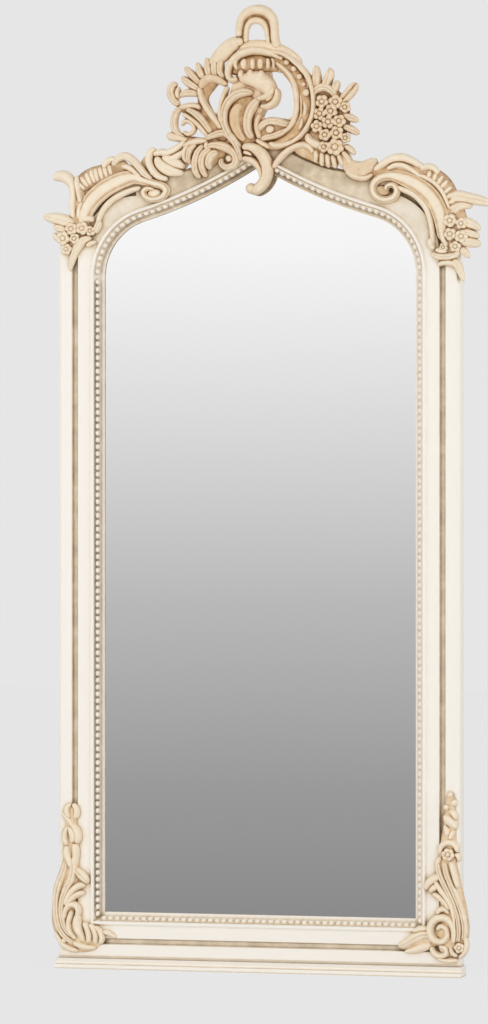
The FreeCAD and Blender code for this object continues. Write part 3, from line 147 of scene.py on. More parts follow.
def addWorld():
    # the camera sees a plain backdrop, the glass sees a slope from grey below to white above,
    # and everything else is lit evenly
    world = bpy.data.worlds.new("studioWorld")
    bpy.context.scene.world = world
    world.use_nodes = True
    tree = world.node_tree
    tree.nodes.clear()
    output = addNode(tree, "ShaderNodeOutputWorld")
    path = addNode(tree, "ShaderNodeLightPath")
    ramp = addNode(tree, "ShaderNodeValToRGB")
    reach = studio["reach"]
    stops = ramp.color_ramp.elements
    # new stops start halfway along, and the loop below puts each in its place
    while len(stops) < len(studio["mirrored"]):
        stops.new(0.5)
    for stop, (slope, grey) in zip(stops, studio["mirrored"]):
        stop.position = (slope + reach) / (2 * reach)
        stop.color = colour(grey, grey, grey)
    climb = axes(tree, "Generated")["Z"]
    link(tree, ranged(tree, climb, -reach, reach, 0.0, 1.0), ramp.inputs["Fac"])
    backdrop = addNode(tree, "ShaderNodeBackground", {"Color": colour(*studio["backdrop"])})
    sloped = addNode(tree, "ShaderNodeBackground", {"Strength": studio["silver"]})
    link(tree, ramp.outputs["Color"], sloped.inputs["Color"])
    even = addNode(tree, "ShaderNodeBackground", {"Color": (1, 1, 1, 1), "Strength": studio["ambient"]})
    lit = mixShaders(tree, path.outputs["Is Glossy Ray"], even.outputs[0], sloped.outputs[0])
    seen = mixShaders(tree, path.outputs["Is Camera Ray"], lit, backdrop.outputs[0])
    link(tree, seen, output.inputs["Surface"])


def addFloor():
    # a wide sheet of pale paper, which the camera sees mostly as an even glow
    mesh = bpy.data.meshes.new("floor")
    half = studio["floorHalf"]
    mesh.from_pydata([(-half, -half, 0), (half, -half, 0), (half, half, 0), (-half, half, 0)], [],
                     [(0, 1, 2, 3)])
    floor = bpy.data.objects.new("floor", mesh)
    bpy.context.collection.objects.link(floor)
    material = bpy.data.materials.new("palePaper")
    material.use_nodes = True
    tree = material.node_tree
    tree.nodes.clear()
    output = addNode(tree, "ShaderNodeOutputMaterial")
    paper = addNode(tree, "ShaderNodeBsdfDiffuse", {"Color": colour(*studio["backdrop"])})
    glow = addNode(tree, "ShaderNodeEmission", {"Color": colour(*studio["floorGlow"])})
    path = addNode(tree, "ShaderNodeLightPath")
    share = arithmetic(tree, "MULTIPLY", path.outputs["Is Camera Ray"], 1 - studio["floorShare"])
    link(tree, mixShaders(tree, share, paper.outputs[0], glow.outputs[0]), output.inputs["Surface"])
    mesh.materials.append(material)
    floor.visible_glossy = False


bpy.context.scene.view_settings.view_transform = "Standard"
addCamera()
addLamps()
addWorld()
addFloor()
print("studio ready")

# finishes
paintedWood = {"name": "creamPaint", "paint": (253, 247, 237), "wash": (226, 208, 178),
               "glazeAndShade": (140, 114, 84), "reach": 0.013, "open": 0.92, "shut": 0.40,
               "mottle": 38.0, "brush": 260.0, "roughness": 0.46, "bump": 0.12, "worn": 0.05}
castOrnament = {"name": "glazedShadedOrnament", "paint": (252, 238, 214), "wash": (230, 202, 164),
                "glazeAndShade": (158, 118, 80), "reach": 0.006, "open": 0.72, "shut": 0.10,
                "mottle": 70.0, "brush": 420.0, "roughness": 0.44, "bump": 0.16, "worn": 0.20}
# the crest keeps more glaze and more painted shade than the shoulders and the corners
crestOrnament = dict(castOrnament, name="glazedShadedCrest", paint=(248, 231, 204), wash=(220, 184, 138),
                     glazeAndShade=(128, 88, 50), reach=0.009, open=0.82, worn=0.26)
beadFinish = {"name": "glazedShadedBeads", "paint": (252, 243, 228), "wash": (232, 212, 182),
              "glazeAndShade": (158, 126, 96), "reach": 0.004, "open": 0.72, "shut": 0.10,
              "mottle": 120.0, "brush": 500.0, "roughness": 0.42, "bump": 0.10, "worn": 0.10}
# The same paint on wood: the base keeps less glaze and painted shade, the bottom rail little at
# its foot, and the arch painted shade that deepens up towards its crown, under the crest. "foot" is
# a height range and the share that stays below it, "crown" holds height ranges and the share that each
# adds.
baseWood = dict(paintedWood, name="creamPaintBase", reach=0.004, glazeAndShade=(184, 170, 154))
footWood = dict(paintedWood, name="creamPaintFoot", foot=(0.022, 0.036, 0.15), open=0.88, worn=0.02)
archWood = dict(paintedWood, name="creamPaintArch", crown=((1.40, 1.46, 0.30), (1.50, 1.58, 0.40)))
# How all of them take their glaze and painted shade. A row of four turns the first two values into
# the last two. "proud" is the depth at which the arch's high members stand, which keep less of it.
glazeAndShading = {"samples": 8, "blotch": (5.0, 0.6), "uneven": (0.3, 0.7, 0.72, 1.25),
           "film": (0.25, 0.8, 0.0), "proud": (-0.0458, -0.0440, 0.25, 1.0),
           "pale": (0.04, 0.55, 0.0, 1.0), "dark": (0.48, 1.25, 0.0, 1.0), "gloss": (0.2, 0.8),
           "duller": 0.10, "glossier": 0.06, "specular": 0.35, "grain": (3.0, 0.55), "depth": 0.0006}
# The other finishes blend two colours by a cloud, given as the scale, detail and roughness of its
# noise. "gloss" turns the cloud into roughness, "constants" are for the shader's own sockets,
# "flecks" is a second cloud for a third colour, and "bump" is a strength and a depth, from the
# cloud or from a "grain" of its own.
cloudyFinishes = {
    "silvered_glass": {"name": "silveredGlass", "cloud": (3.0, 2.0, 0.55), "constants": {"Metallic": 1.0},
                       "colours": ((247, 246, 246), (249, 248, 248)), "gloss": (0.2, 0.8, 0.0, 0.012)},
    "backing_board": {"name": "pressedBoard", "cloud": (340.0, 6.0, 0.7), "constants": {"Roughness": 0.82},
                      "colours": ((120, 88, 58), (176, 140, 102)), "flecks": (90.0, 4.0, 0.55),
                      "fleckRange": (0.55, 0.75, 0.0, 1.0), "fleckColour": (98, 70, 46),
                      "bump": (0.25, 0.0008)},
    "zinc_steel": {"name": "zincSteel", "cloud": (160.0, 5.0, 0.65), "constants": {"Metallic": 1.0},
                   "colours": ((150, 152, 156), (206, 208, 210)), "gloss": (0.25, 0.75, 0.26, 0.46),
                   "grain": (900.0, 2.0, 0.55), "bump": (0.08, 0.0003)},
    "soft_rubber": {"name": "softRubber", "cloud": (220.0, 5.0, 0.6), "constants": {},
                    "colours": ((26, 26, 27), (58, 57, 56)), "gloss": (0.2, 0.8, 0.62, 0.85),
                    "bump": (0.2, 0.0005)}}


def newMaterial(name):
    material = bpy.data.materials.new(name)
    material.use_nodes = True
    tree = material.node_tree
    return material, tree, tree.nodes["Principled BSDF"]


def noise(tree, scale, detail, roughness):
    texture = addNode(tree, "ShaderNodeTexNoise", {"Scale": scale, "Detail": detail,
                                                   "Roughness": roughness})
    place = addNode(tree, "ShaderNodeTexCoord")
    link(tree, place.outputs["Object"], texture.inputs["Vector"])
    return texture.outputs["Fac"]


def blendColours(tree, share, first, second):
    # the node's inputs 6 and 7 and its output 2 are the ones for colours
    mix = addNode(tree, "ShaderNodeMix")
    mix.data_type = "RGBA"
    link(tree, share, mix.inputs["Factor"])
    for key, value in ((6, first), (7, second)):
        if isinstance(value, tuple):
            mix.inputs[key].default_value = value
        else:
            link(tree, value, mix.inputs[key])
    return mix.outputs[2]


def addBump(tree, shader, height, strength, depth):
    bump = addNode(tree, "ShaderNodeBump", {"Strength": strength, "Distance": depth})
    link(tree, height, bump.inputs["Height"])
    link(tree, bump.outputs["Normal"], shader.inputs["Normal"])


def paintWithGlazeAndShade(finish, carved):
    # pale paint, with a brown glaze that was wiped off the high places and stays in the hollows, and
    # the same brown as painted shade there: how shut in a point is, as ambient occlusion gives it, its own
    # hollow value on carvings, and some blotches set how much brown stays
    material, tree, shader = newMaterial(finish["name"])
    hollow = addNode(tree, "ShaderNodeAmbientOcclusion", {"Distance": finish["reach"]})
    hollow.samples = glazeAndShading["samples"]
    shut = ranged(tree, hollow.outputs["AO"], finish["shut"], finish["open"], 1.0, 0.0)
    blotch = noise(tree, finish["mottle"], *glazeAndShading["blotch"])
    uneven = ranged(tree, blotch, *glazeAndShading["uneven"])
    amount = arithmetic(tree, "MULTIPLY", shut, uneven)
    if carved:
        own = addNode(tree, "ShaderNodeAttribute")
        own.attribute_name = "hollow"
        amount = arithmetic(tree, "ADD", amount, arithmetic(tree, "MULTIPLY", own.outputs["Fac"], uneven))
    film = ranged(tree, blotch, *glazeAndShading["film"], finish["worn"])
    amount = arithmetic(tree, "ADD", amount, film)
    # painted shade on the arch: deeper towards its crown, less on the proud members
    for low, high, share in finish.get("crown", ()):
        place = axes(tree, "Object")
        climb = ranged(tree, place["Z"], low, high, 0.0, share)
        proud = ranged(tree, place["Y"], *glazeAndShading["proud"])
        climb = arithmetic(tree, "MULTIPLY", climb, arithmetic(tree, "MULTIPLY", proud, uneven))
        amount = arithmetic(tree, "ADD", amount, climb)
    # less glaze and painted shade at the foot
    if "foot" in finish:
        low, high, share = finish["foot"]
        amount = arithmetic(tree, "MULTIPLY", amount,
                            ranged(tree, axes(tree, "Object")["Z"], low, high, share, 1.0))
    pale = ranged(tree, amount, *glazeAndShading["pale"])
    dark = ranged(tree, amount, *glazeAndShading["dark"])
    washed = blendColours(tree, pale, colour(*finish["paint"]), colour(*finish["wash"]))
    glazed = blendColours(tree, dark, washed, colour(*finish["glazeAndShade"]))
    link(tree, glazed, shader.inputs["Base Color"])
    gloss = ranged(tree, blotch, *glazeAndShading["gloss"], finish["roughness"] - glazeAndShading["glossier"],
                   finish["roughness"] + glazeAndShading["duller"])
    link(tree, gloss, shader.inputs["Roughness"])
    shader.inputs["Specular IOR Level"].default_value = glazeAndShading["specular"]
    brush = noise(tree, finish["brush"], *glazeAndShading["grain"])
    addBump(tree, shader, brush, finish["bump"], glazeAndShading["depth"])
    return material


def cloudyFinish(finish):
    material, tree, shader = newMaterial(finish["name"])
    cloud = noise(tree, *finish["cloud"])
    first, second = finish["colours"]
    tint = blendColours(tree, cloud, colour(*first), colour(*second))
    if "flecks" in finish:
        flecks = ranged(tree, noise(tree, *finish["flecks"]), *finish["fleckRange"])
        tint = blendColours(tree, flecks, tint, colour(*finish["fleckColour"]))
    link(tree, tint, shader.inputs["Base Color"])
    if "gloss" in finish:
        link(tree, ranged(tree, cloud, *finish["gloss"]), shader.inputs["Roughness"])
    for socket, value in finish["constants"].items():
        shader.inputs[socket].default_value = value
    if "bump" in finish:
        grain = noise(tree, *finish["grain"]) if "grain" in finish else cloud
        addBump(tree, shader, grain, *finish["bump"])
    return material


finishes = {slot: cloudyFinish(finish) for slot, finish in cloudyFinishes.items()}
finishes["painted_wood"] = paintWithGlazeAndShade(paintedWood, False)
finishes["cast_ornament"] = paintWithGlazeAndShade(castOrnament, True)
finishes["bead_strip"] = paintWithGlazeAndShade(beadFinish, True)
for part in frame["record"]["subparts"]:
    mesh = frame["nodes"][part["node"]].data
    mesh.materials.clear()
    mesh.materials.append(finishes[part["material_slot"]])
crestFinish = paintWithGlazeAndShade(crestOrnament, True)
archFinish = paintWithGlazeAndShade(archWood, False)
for node, finish in {"crest_board": crestFinish, "arch_rail_left": archFinish,
                     "arch_rail_right": archFinish, "bottom_rail": paintWithGlazeAndShade(footWood, False),
                     "base_moulding": paintWithGlazeAndShade(baseWood, False)}.items():
    frame["nodes"][node].data.materials[0] = finish

# skins
# A skin is a dictionary of points, quads, triangles and each point's hollow value, which sets its
# painted shade and glaze.


def tube(rings, hollow):
    # closed skin over rings of points: quads between neighbours and a fan over each end
    count, around = rings.shape[:2]
    points = np.vstack([rings.reshape(-1, 3), rings[0].mean(0), rings[-1].mean(0)])
    row, column = np.meshgrid(np.arange(count - 1), np.arange(around), indexing="ij")
    here = (row * around + column).ravel()
    beside = (row * around + (column + 1) % around).ravel()
    quads = np.stack([here, beside, beside + around, here + around], 1)
    edge = np.arange(around)
    nextEdge = (edge + 1) % around
    last = (count - 1) * around
    first = np.stack([nextEdge, edge, np.full(around, count * around)], 1)
    final = np.stack([last + edge, last + nextEdge, np.full(around, count * around + 1)], 1)
    values = np.concatenate([hollow.ravel(), [hollow[0].mean(), hollow[-1].mean()]])
    return {"points": points, "quads": quads, "triangles": np.vstack([first, final]),
            "hollow": values}


def gathered(skins):
    # one skin from several, whose corners are counted on from those before
    start = 0
    quads, triangles = [], []
    for skin in skins:
        quads.append(skin["quads"] + start)
        triangles.append(skin["triangles"] + start)
        start += len(skin["points"])
    return {"points": np.vstack([skin["points"] for skin in skins]), "quads": np.vstack(quads),
            "triangles": np.vstack(triangles),
            "hollow": np.concatenate([skin["hollow"] for skin in skins])}


def addPiece(name, skins, slot, node):
    skin = gathered(skins)
    mesh = bpy.data.meshes.new(name)
    mesh.from_pydata(skin["points"].tolist(), [], skin["quads"].tolist() + skin["triangles"].tolist())
    # each point's hollow value, its painted shade and glaze, goes to the material
    value = mesh.attributes.new("hollow", "FLOAT", "POINT")
    value.data.foreach_set("value", skin["hollow"].astype(np.float32))
    work = bmesh.new()
    work.from_mesh(mesh)
    bmesh.ops.recalc_face_normals(work, faces=work.faces)
    work.to_mesh(mesh)
    work.free()
    mesh.polygons.foreach_set("use_smooth", np.ones(len(mesh.polygons), bool))
    mesh.materials.append(finishes[slot])
    piece = bpy.data.objects.new(name, mesh)
    bpy.context.collection.objects.link(piece)
    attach(piece, "frame")
    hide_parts(node)
    return piece


# beads
# Metres, except that "crowd" is a share of the beads' pitch and "steep" a range of quarter turns.
beadShape = {"radius": 0.0058, "rise": 0.0050, "around": 10, "rings": 4, "crowd": 0.46,
             "steep": (-0.15, 0.92), "shadeEnd": 0.9, "shade": 0.55, "tipHeight": 0.0045,
             "seat": 0.036, "slack": 0.0003, "sides": 6, "digits": 6,
             "hub": (0.0, 0.9)}
# "overrun" is a share of the pitch, "bevel" of the half width and "side" of the thickness.
stripShape = {"half": 0.0068, "thick": 0.0012, "top": 0.0003, "bevel": 0.8, "side": 0.1,
              "overrun": 0.45, "shade": 0.85}
# How much glaze and painted shade each string of beads takes: the strings on the right take less painted
# shade than those on the left.
beadGlazeAndShade = {"beads_left": 0.6, "beads_right": 0.1, "beads_bottom": 0.6, "beads_arch_left": 0.5,
             "beads_arch_right": 0.3}


def beadPlaces(node):
    # each bead of the frame is a six-sided point: the corner that six faces share is its tip, and
    # the middle of the other corners of those faces is the middle of its foot; the height of the
    # tip and the depth of the foot tell a bead from other corners with six faces
    mesh = frame["nodes"][node].data
    corners = np.empty(len(mesh.loops), np.int64)
    mesh.loops.foreach_get("vertex_index", corners)
    points = np.empty(len(mesh.vertices) * 3)
    mesh.vertices.foreach_get("co", points)
    triangles = np.round(points.reshape(-1, 3)[corners].reshape(-1, 3), beadShape["digits"])
    unique, which = np.unique(triangles, axis=0, return_inverse=True)
    which = which.reshape(-1, 3)
    shared = np.bincount(which.ravel(), minlength=len(unique))
    total = np.zeros_like(unique)
    for corner in range(3):
        others = [index for index in range(3) if index != corner]
        np.add.at(total, which[:, corner], unique[which[:, others]].sum(1))
    foot = total / (2 * shared[:, None])
    height = np.linalg.norm(unique - foot, axis=1)
    tall = np.abs(height - beadShape["tipHeight"]) < beadShape["slack"]
    seated = np.abs(foot[:, 1] + beadShape["seat"]) < beadShape["slack"]
    tips = (shared == beadShape["sides"]) & tall & seated
    return unique[tips], foot[tips]


def inOrder(tips, feet):
    # from one end of the string to the other: by the angle about a point inside the frame
    x, z = beadShape["hub"]
    order = np.argsort(np.arctan2(feet[:, 2] - z, feet[:, 0] - x))
    return tips[order], feet[order]


def unit(vectors):
    return vectors / np.linalg.norm(vectors, axis=1)[:, None]


def beadSkins(tips, feet, glazeAndShade):
    # a bead is a dome on its foot: rings at equal steps of a quarter turn, cosine out, sine up
    up = unit(tips - feet)
    side = unit(np.cross(up, (0.0, 1.0, 0.0)))
    ahead = np.cross(up, side)
    turn = np.arange(beadShape["around"]) / beadShape["around"] * 2 * np.pi
    steep = np.linspace(*beadShape["steep"], beadShape["rings"]) * np.pi / 2
    pitch = np.median(np.linalg.norm(np.diff(feet, axis=0), axis=1))
    radius = min(beadShape["radius"], beadShape["crowd"] * pitch)
    reach = radius * np.cos(steep)
    lift = beadShape["rise"] * radius / beadShape["radius"] * np.sin(steep)
    skins = []
    for foot, outward, across, along in zip(feet, up, side, ahead):
        ring = np.cos(turn)[:, None] * across + np.sin(turn)[:, None] * along
        rings = foot + reach[:, None, None] * ring + lift[:, None, None] * outward
        # painted shade and glaze on the lower rings, darker towards the foot
        dark = np.repeat(np.clip(beadShape["shadeEnd"] - steep, 0, 1)[:, None] ** 2, len(turn), 1)
        skins.append(tube(rings, dark * beadShape["shade"] * glazeAndShade))
    return skins


def stripSkin(tips, feet, glazeAndShade):
    # the strip is a flat bar under the beads, carried along the middles of their feet
    up = unit(tips - feet)
    run = unit(np.gradient(feet, axis=0))
    across = np.cross(up, run)
    overrun = np.linalg.norm(feet[1] - feet[0]) * stripShape["overrun"]
    middle = np.vstack([feet[0] - run[0] * overrun, feet, feet[-1] + run[-1] * overrun])
    up = np.vstack([up[:1], up, up[-1:]])
    across = np.vstack([across[:1], across, across[-1:]])
    half, thick, top = stripShape["half"], stripShape["thick"], stripShape["top"]
    shoulder, side = half * stripShape["bevel"], thick * stripShape["side"]
    section = ((-half, -thick), (-half, -side), (-shoulder, top), (shoulder, top), (half, -side),
               (half, -thick))
    rings = np.stack([middle + across * x + up * y for x, y in section], 1)
    # the strip is painted dark all over: shade and glaze between and under the beads
    return tube(rings, np.full(rings.shape[:2], stripShape["shade"] * glazeAndShade))


def buildBeads():
    for node, glazeAndShade in beadGlazeAndShade.items():
        tips, feet = inOrder(*beadPlaces(node))
        name = "rounded_" + node
        addPiece(name, beadSkins(tips, feet, glazeAndShade) + [stripSkin(tips, feet, glazeAndShade)], "bead_strip", node)
        gaps = np.linalg.norm(np.diff(feet, axis=0), axis=1)
        print(name, len(tips), "beads, steps of", gaps.min().round(5), "to", gaps.max().round(5), "m")


buildBeads()

# carving
# Carvings are laid out on the photograph's own pixels. A limb's rows are across, down, half width,
# rise and lift. A boss is across, down, radius, rise, lift and how many points go round it. A
# flower has its turn in radians before the lift, and its petals last where they aren't five.
# "pixel" is in metres, and "stretch" makes up for the camera's turn, which narrows the picture.
# Each anchor ties a pixel to a point of the frame, as X and Z in metres.
pixel = 0.001965
stretch = 1.031
anchors = {"crest": ((255.5, 166.0), (0.0, 1.584)),
           "shoulder_left": ((54.5, 275.3), (-0.406, 1.370)),
           "shoulder_right": ((455.0, 275.3), (0.406, 1.370)),
           "corner_left": ((52.5, 962.0), (-0.406, 0.020)),
           "corner_right": ((455.5, 962.0), (0.406, 0.020))}

# Styles of limbs. "ground" is glaze and painted shade all over, as low ground keeps glaze and lies in
# shade, "channel" is the depth of a groove down the middle and "channelWidth" its width, "rib" is a
# narrower groove, and "edges" are lines along both edges.
plain = {}
ground = {"ground": 0.62}
twinned = {"channel": 0.30, "channelWidth": 0.20}
veined = {"channel": 0.20, "channelWidth": 0.16}
# "fullness" is how much wider than its rows a limb is, so that neighbours meet. The least and
# deepest values are in pixels, places over the width run from -1 to 1, back depths are shares of
# the half width, and shades are hollow values.
limbShape = {"fullness": 1.17, "leastHalf": 0.4, "leastRise": 0.3, "leastEnd": 0.05,
             "leastRound": 0.5, "leastWay": 1e-6, "power": 0.7, "ribWidth": 0.14,
             "linePlace": 0.62, "lineWidth": 0.13, "lineDepth": 0.45, "edgeShade": 0.28,
             "channelShade": 0.75, "backPlaces": (0.86, 0.0, -0.86),
             "backDepths": (0.45, 0.8, 0.45), "deepest": 3.5, "backShade": 0.15}
# a ridge is low ground with ribs across its first rows; "start" and "end" are shares of a rib's
# own half width and rise
ridgeShape = {"rise": 3.2, "lift": 6.2, "style": {"ground": 0.75}, "across": 13}
ribShape = {"rows": 5, "pathSteps": 12, "reach": 0.9, "lift": 5.4, "rise": 5.6, "start": (0.7, 0.6),
            "end": (0.8, 0.8), "across": 9, "steps": 5}
# "reach" is where the rings lie, as shares of the radius, from the rim to the middle; beyond
# "swung" they swing with the petals, and inside "button" they are the button
flowerShape = {"reach": (1.0, 0.97, 0.88, 0.74, 0.58, 0.42, 0.33, 0.27, 0.16, 0.05), "petalSteps": 8,
               "power": 0.6, "rim": 0.76, "button": 0.30, "swung": 0.35, "buttonFoot": 0.60,
               "petalFoot": 0.42, "bulge": 0.36, "seam": 0.45, "edge": 0.98, "edgeHeight": 0.2,
               "baseShade": 0.04, "seamShade": 0.30, "seamPower": 1.6, "ringShade": 0.17,
               "ringPlace": 0.34, "ringWidth": 0.07, "edgeShade": 0.2, "backReach": 0.6,
               "backDepth": 0.45, "backShade": 0.5}
bossShape = {"steep": (-0.5, 0.0, 0.35, 0.65, 0.9), "shade": 0.6, "around": 12}


def smoothRows(rows, steps):
    # each stretch between two rows is a cubic through them that leans on the rows on either side
    rows = np.asarray(rows, float)
    more = np.vstack([2 * rows[0] - rows[1], rows, 2 * rows[-1] - rows[-2]])
    before, start, end, after = (more[k:len(more) - 3 + k, None, :] for k in range(4))
    t = np.linspace(0, 1, steps, endpoint=False)[None, :, None]
    curve = 0.5 * (2 * start + (end - before) * t + (2 * before - 5 * start + 4 * end - after) * t ** 2
                   + (3 * start - before - 3 * end + after) * t ** 3)
    return np.vstack([curve.reshape(-1, rows.shape[1]), rows[-1:]])


def limb(rows, style=plain, across=15, steps=8):
    # A section carried along the smoothed rows. Over the width, where u runs from -1 to 1, it is a
    # dome: one less the square of u, to a power. A channel or a rib takes a bell off its middle,
    # and lines run along both edges. The ends are rounded off over half a width.
    shape = limbShape
    rows = [tuple(row) + (0.0,) * (5 - len(row)) for row in rows]
    dense = smoothRows(rows, steps)
    middle = dense[:, :2]
    half = np.maximum(dense[:, 2] * shape["fullness"], shape["leastHalf"])
    rise = np.maximum(dense[:, 3], shape["leastRise"])
    lift = dense[:, 4]
    gap = np.linalg.norm(np.diff(middle, axis=0), axis=1)
    run = np.concatenate([[0], np.cumsum(gap)])
    fromEnd = np.minimum(run, run[-1] - run)
    inset = np.clip(1 - fromEnd / np.maximum(half, shape["leastRound"]), 0, 1)
    ends = np.sqrt(np.clip(1 - inset ** 2, shape["leastEnd"], 1))
    way = np.gradient(middle, axis=0)
    way /= np.maximum(np.linalg.norm(way, axis=1), shape["leastWay"])[:, None]
    out = np.stack([way[:, 1], -way[:, 0]], 1)
    u = np.sin(np.linspace(-np.pi / 2, np.pi / 2, across))[None, :]
    dome = (1 - u ** 2) ** shape["power"]
    width = half[:, None] * ends[:, None]
    bell = np.exp(-(u / style.get("channelWidth", 1.0)) ** 2) * style.get("channel", 0)
    vein = np.exp(-(u / shape["ribWidth"]) ** 2) * style.get("rib", 0)
    lines = style.get("edges", 0) * np.exp(-((np.abs(u) - shape["linePlace"]) / shape["lineWidth"]) ** 2)
    relief = dome * (1 - bell) * (1 - vein) * (1 - shape["lineDepth"] * lines)
    height = lift[:, None] + rise[:, None] * ends[:, None] ** shape["power"] * relief
    # the hollow values paint shade and glaze: darker towards the edges, in the channel, the rib and the
    # lines, and over low ground; the back gets a little
    hollow = (shape["edgeShade"] * (1 - dome) ** 2 + shape["channelShade"] * bell + vein + lines
              + style.get("ground", 0))
    under = np.minimum(half, shape["deepest"])[:, None] * np.array([shape["backDepths"]])
    backU = np.array([shape["backPlaces"]])
    backHeight = lift[:, None] - under * ends[:, None]
    allU = np.concatenate([np.broadcast_to(u, height.shape), np.broadcast_to(backU, backHeight.shape)], 1)
    allHeight = np.concatenate([height, backHeight], 1)
    place = middle[:, None, :] + out[:, None, :] * (allU * width)[:, :, None]
    backDark = np.full(backHeight.shape, shape["backShade"])
    dark = np.concatenate([np.broadcast_to(hollow, height.shape), backDark], 1)
    return tube(np.concatenate([place, allHeight[:, :, None]], 2), dark)


def limbs(style, paths, across=15, steps=8):
    return [limb(rows, style, across, steps) for rows in paths]


def ridgeGround(rows):
    path = [(*row, ridgeShape["rise"], ridgeShape["lift"]) for row in rows]
    return limbs(ridgeShape["style"], [path], ridgeShape["across"])


def ribs(rows, count, half, lean):
    # short limbs that stand across a ridge at even steps, from its inner edge to its outer one
    shape = ribShape
    path = [(x, y, width * shape["reach"], shape["lift"]) for x, y, width in rows[:shape["rows"]]]
    dense = smoothRows(path, shape["pathSteps"])
    way = unit(np.gradient(dense[:, :2], axis=0))
    widths = [half * shape["start"][0], half, half * shape["end"][0]]
    rises = [shape["rise"] * shape["start"][1], shape["rise"], shape["rise"] * shape["end"][1]]
    paths = []
    for index in np.linspace(1, len(dense) - 2, count).astype(int):
        middle, reach, lift = dense[index, :2], dense[index, 2], dense[index, 3]
        out = np.array([way[index, 1], -way[index, 0]])
        start = middle - out * reach
        end = middle + out * reach + way[index] * lean
        places = (start, (start + end) / 2, end)
        paths.append([(*place, width, rise, lift) for place, width, rise in zip(places, widths, rises)])
    return limbs(plain, paths, shape["across"], shape["steps"])


def flower(across, down, radius, rise, turn, lift, petals=5):
    # polar grid: the rim swings in and out once for each petal, each petal is a low dish with a
    # groove between neighbours, and a button stands in the middle
    shape = flowerShape
    angle = np.linspace(0, 2 * np.pi, petals * shape["petalSteps"], endpoint=False)[None, :]
    t = np.array(shape["reach"])[:, None]
    inner = t < shape["button"]
    swing = np.abs(np.cos((angle - turn) * petals / 2)) ** shape["power"]
    rim = shape["rim"] + (1 - shape["rim"]) * swing
    reach = radius * np.where(t > shape["swung"], t * rim, t)
    outward = np.clip((t - shape["button"]) / (1 - shape["button"]), 0, 1)
    bulge = np.sin(np.pi * outward) ** shape["power"]
    petal = shape["petalFoot"] + shape["bulge"] * bulge * (shape["seam"] + (1 - shape["seam"]) * swing)
    petal = np.where(t > shape["edge"], shape["edgeHeight"], petal)
    crown = np.sqrt(np.clip(1 - (t / shape["button"]) ** 2, 0, 1))
    button = shape["buttonFoot"] + (1 - shape["buttonFoot"]) * crown
    height = lift + rise * np.where(inner, button, petal)
    # painted shade and glaze in the seams between petals, in a ring round the button and at the rim; the
    # back gets a little more
    seam = shape["seamShade"] * (1 - swing) ** shape["seamPower"]
    ring = shape["ringShade"] * np.exp(-((t - shape["ringPlace"]) / shape["ringWidth"]) ** 2)
    edge = shape["edgeShade"] * (t > shape["edge"])
    dark = np.where(inner, 0.0, shape["baseShade"] + seam + ring + edge)
    back = lift - shape["backDepth"] * radius * np.ones_like(angle)
    reach = np.concatenate([shape["backReach"] * radius * rim, reach])
    height = np.concatenate([back, height])
    dark = np.concatenate([np.full_like(angle, shape["backShade"]), dark * np.ones_like(angle)])
    rings = np.stack([across + reach * np.cos(angle), down + reach * np.sin(angle), height], 2)
    return tube(rings, dark)


def boss(across, down, radius, rise, lift, around=bossShape["around"]):
    # round button: a dome on a short foot
    angle = np.linspace(0, 2 * np.pi, around, endpoint=False)[None, :]
    steep = np.array(bossShape["steep"])[:, None] * np.pi / 2
    reach = radius * np.cos(steep)
    height = lift + rise * np.sin(steep) * np.ones_like(angle)
    rings = np.stack([across + reach * np.cos(angle), down + reach * np.sin(angle), height], 2)
    shade = bossShape["shade"]
    # painted shade and glaze, darker towards the foot
    dark = np.repeat(np.clip(shade - steep, 0, 1) ** 2 * shade, around, 1)
    return tube(rings, dark)


def bosses(rows):
    return [boss(*row) for row in rows]


def flowers(rows):
    return [flower(*row) for row in rows]


def settled(skins, anchor, seat):
    # pixels to metres: across and down from the anchor's own pixel, and out from the seat
    (pixelAcross, pixelDown), (x, z) = anchors[anchor]
    for skin in skins:
        across, down, height = skin["points"].T
        skin["points"] = np.stack([x + (across - pixelAcross) * pixel * stretch, -seat - height * pixel,
                                   z + (pixelDown - down) * pixel], 1)
    return skins


def carve(name, node, anchor, seat, skins):
    piece = addPiece("carved_" + name, settled(skins, anchor, seat), "cast_ornament", node)
    if anchor == "crest":
        piece.data.materials[0] = crestFinish
    print(name, "carved from", len(skins), "skins")


# crest
# Seats are how far in front of the frame's zero plane a carving is bedded, in metres.
frontSeat = 0.042
finialSeat = 0.026
pendantSeat = 0.048
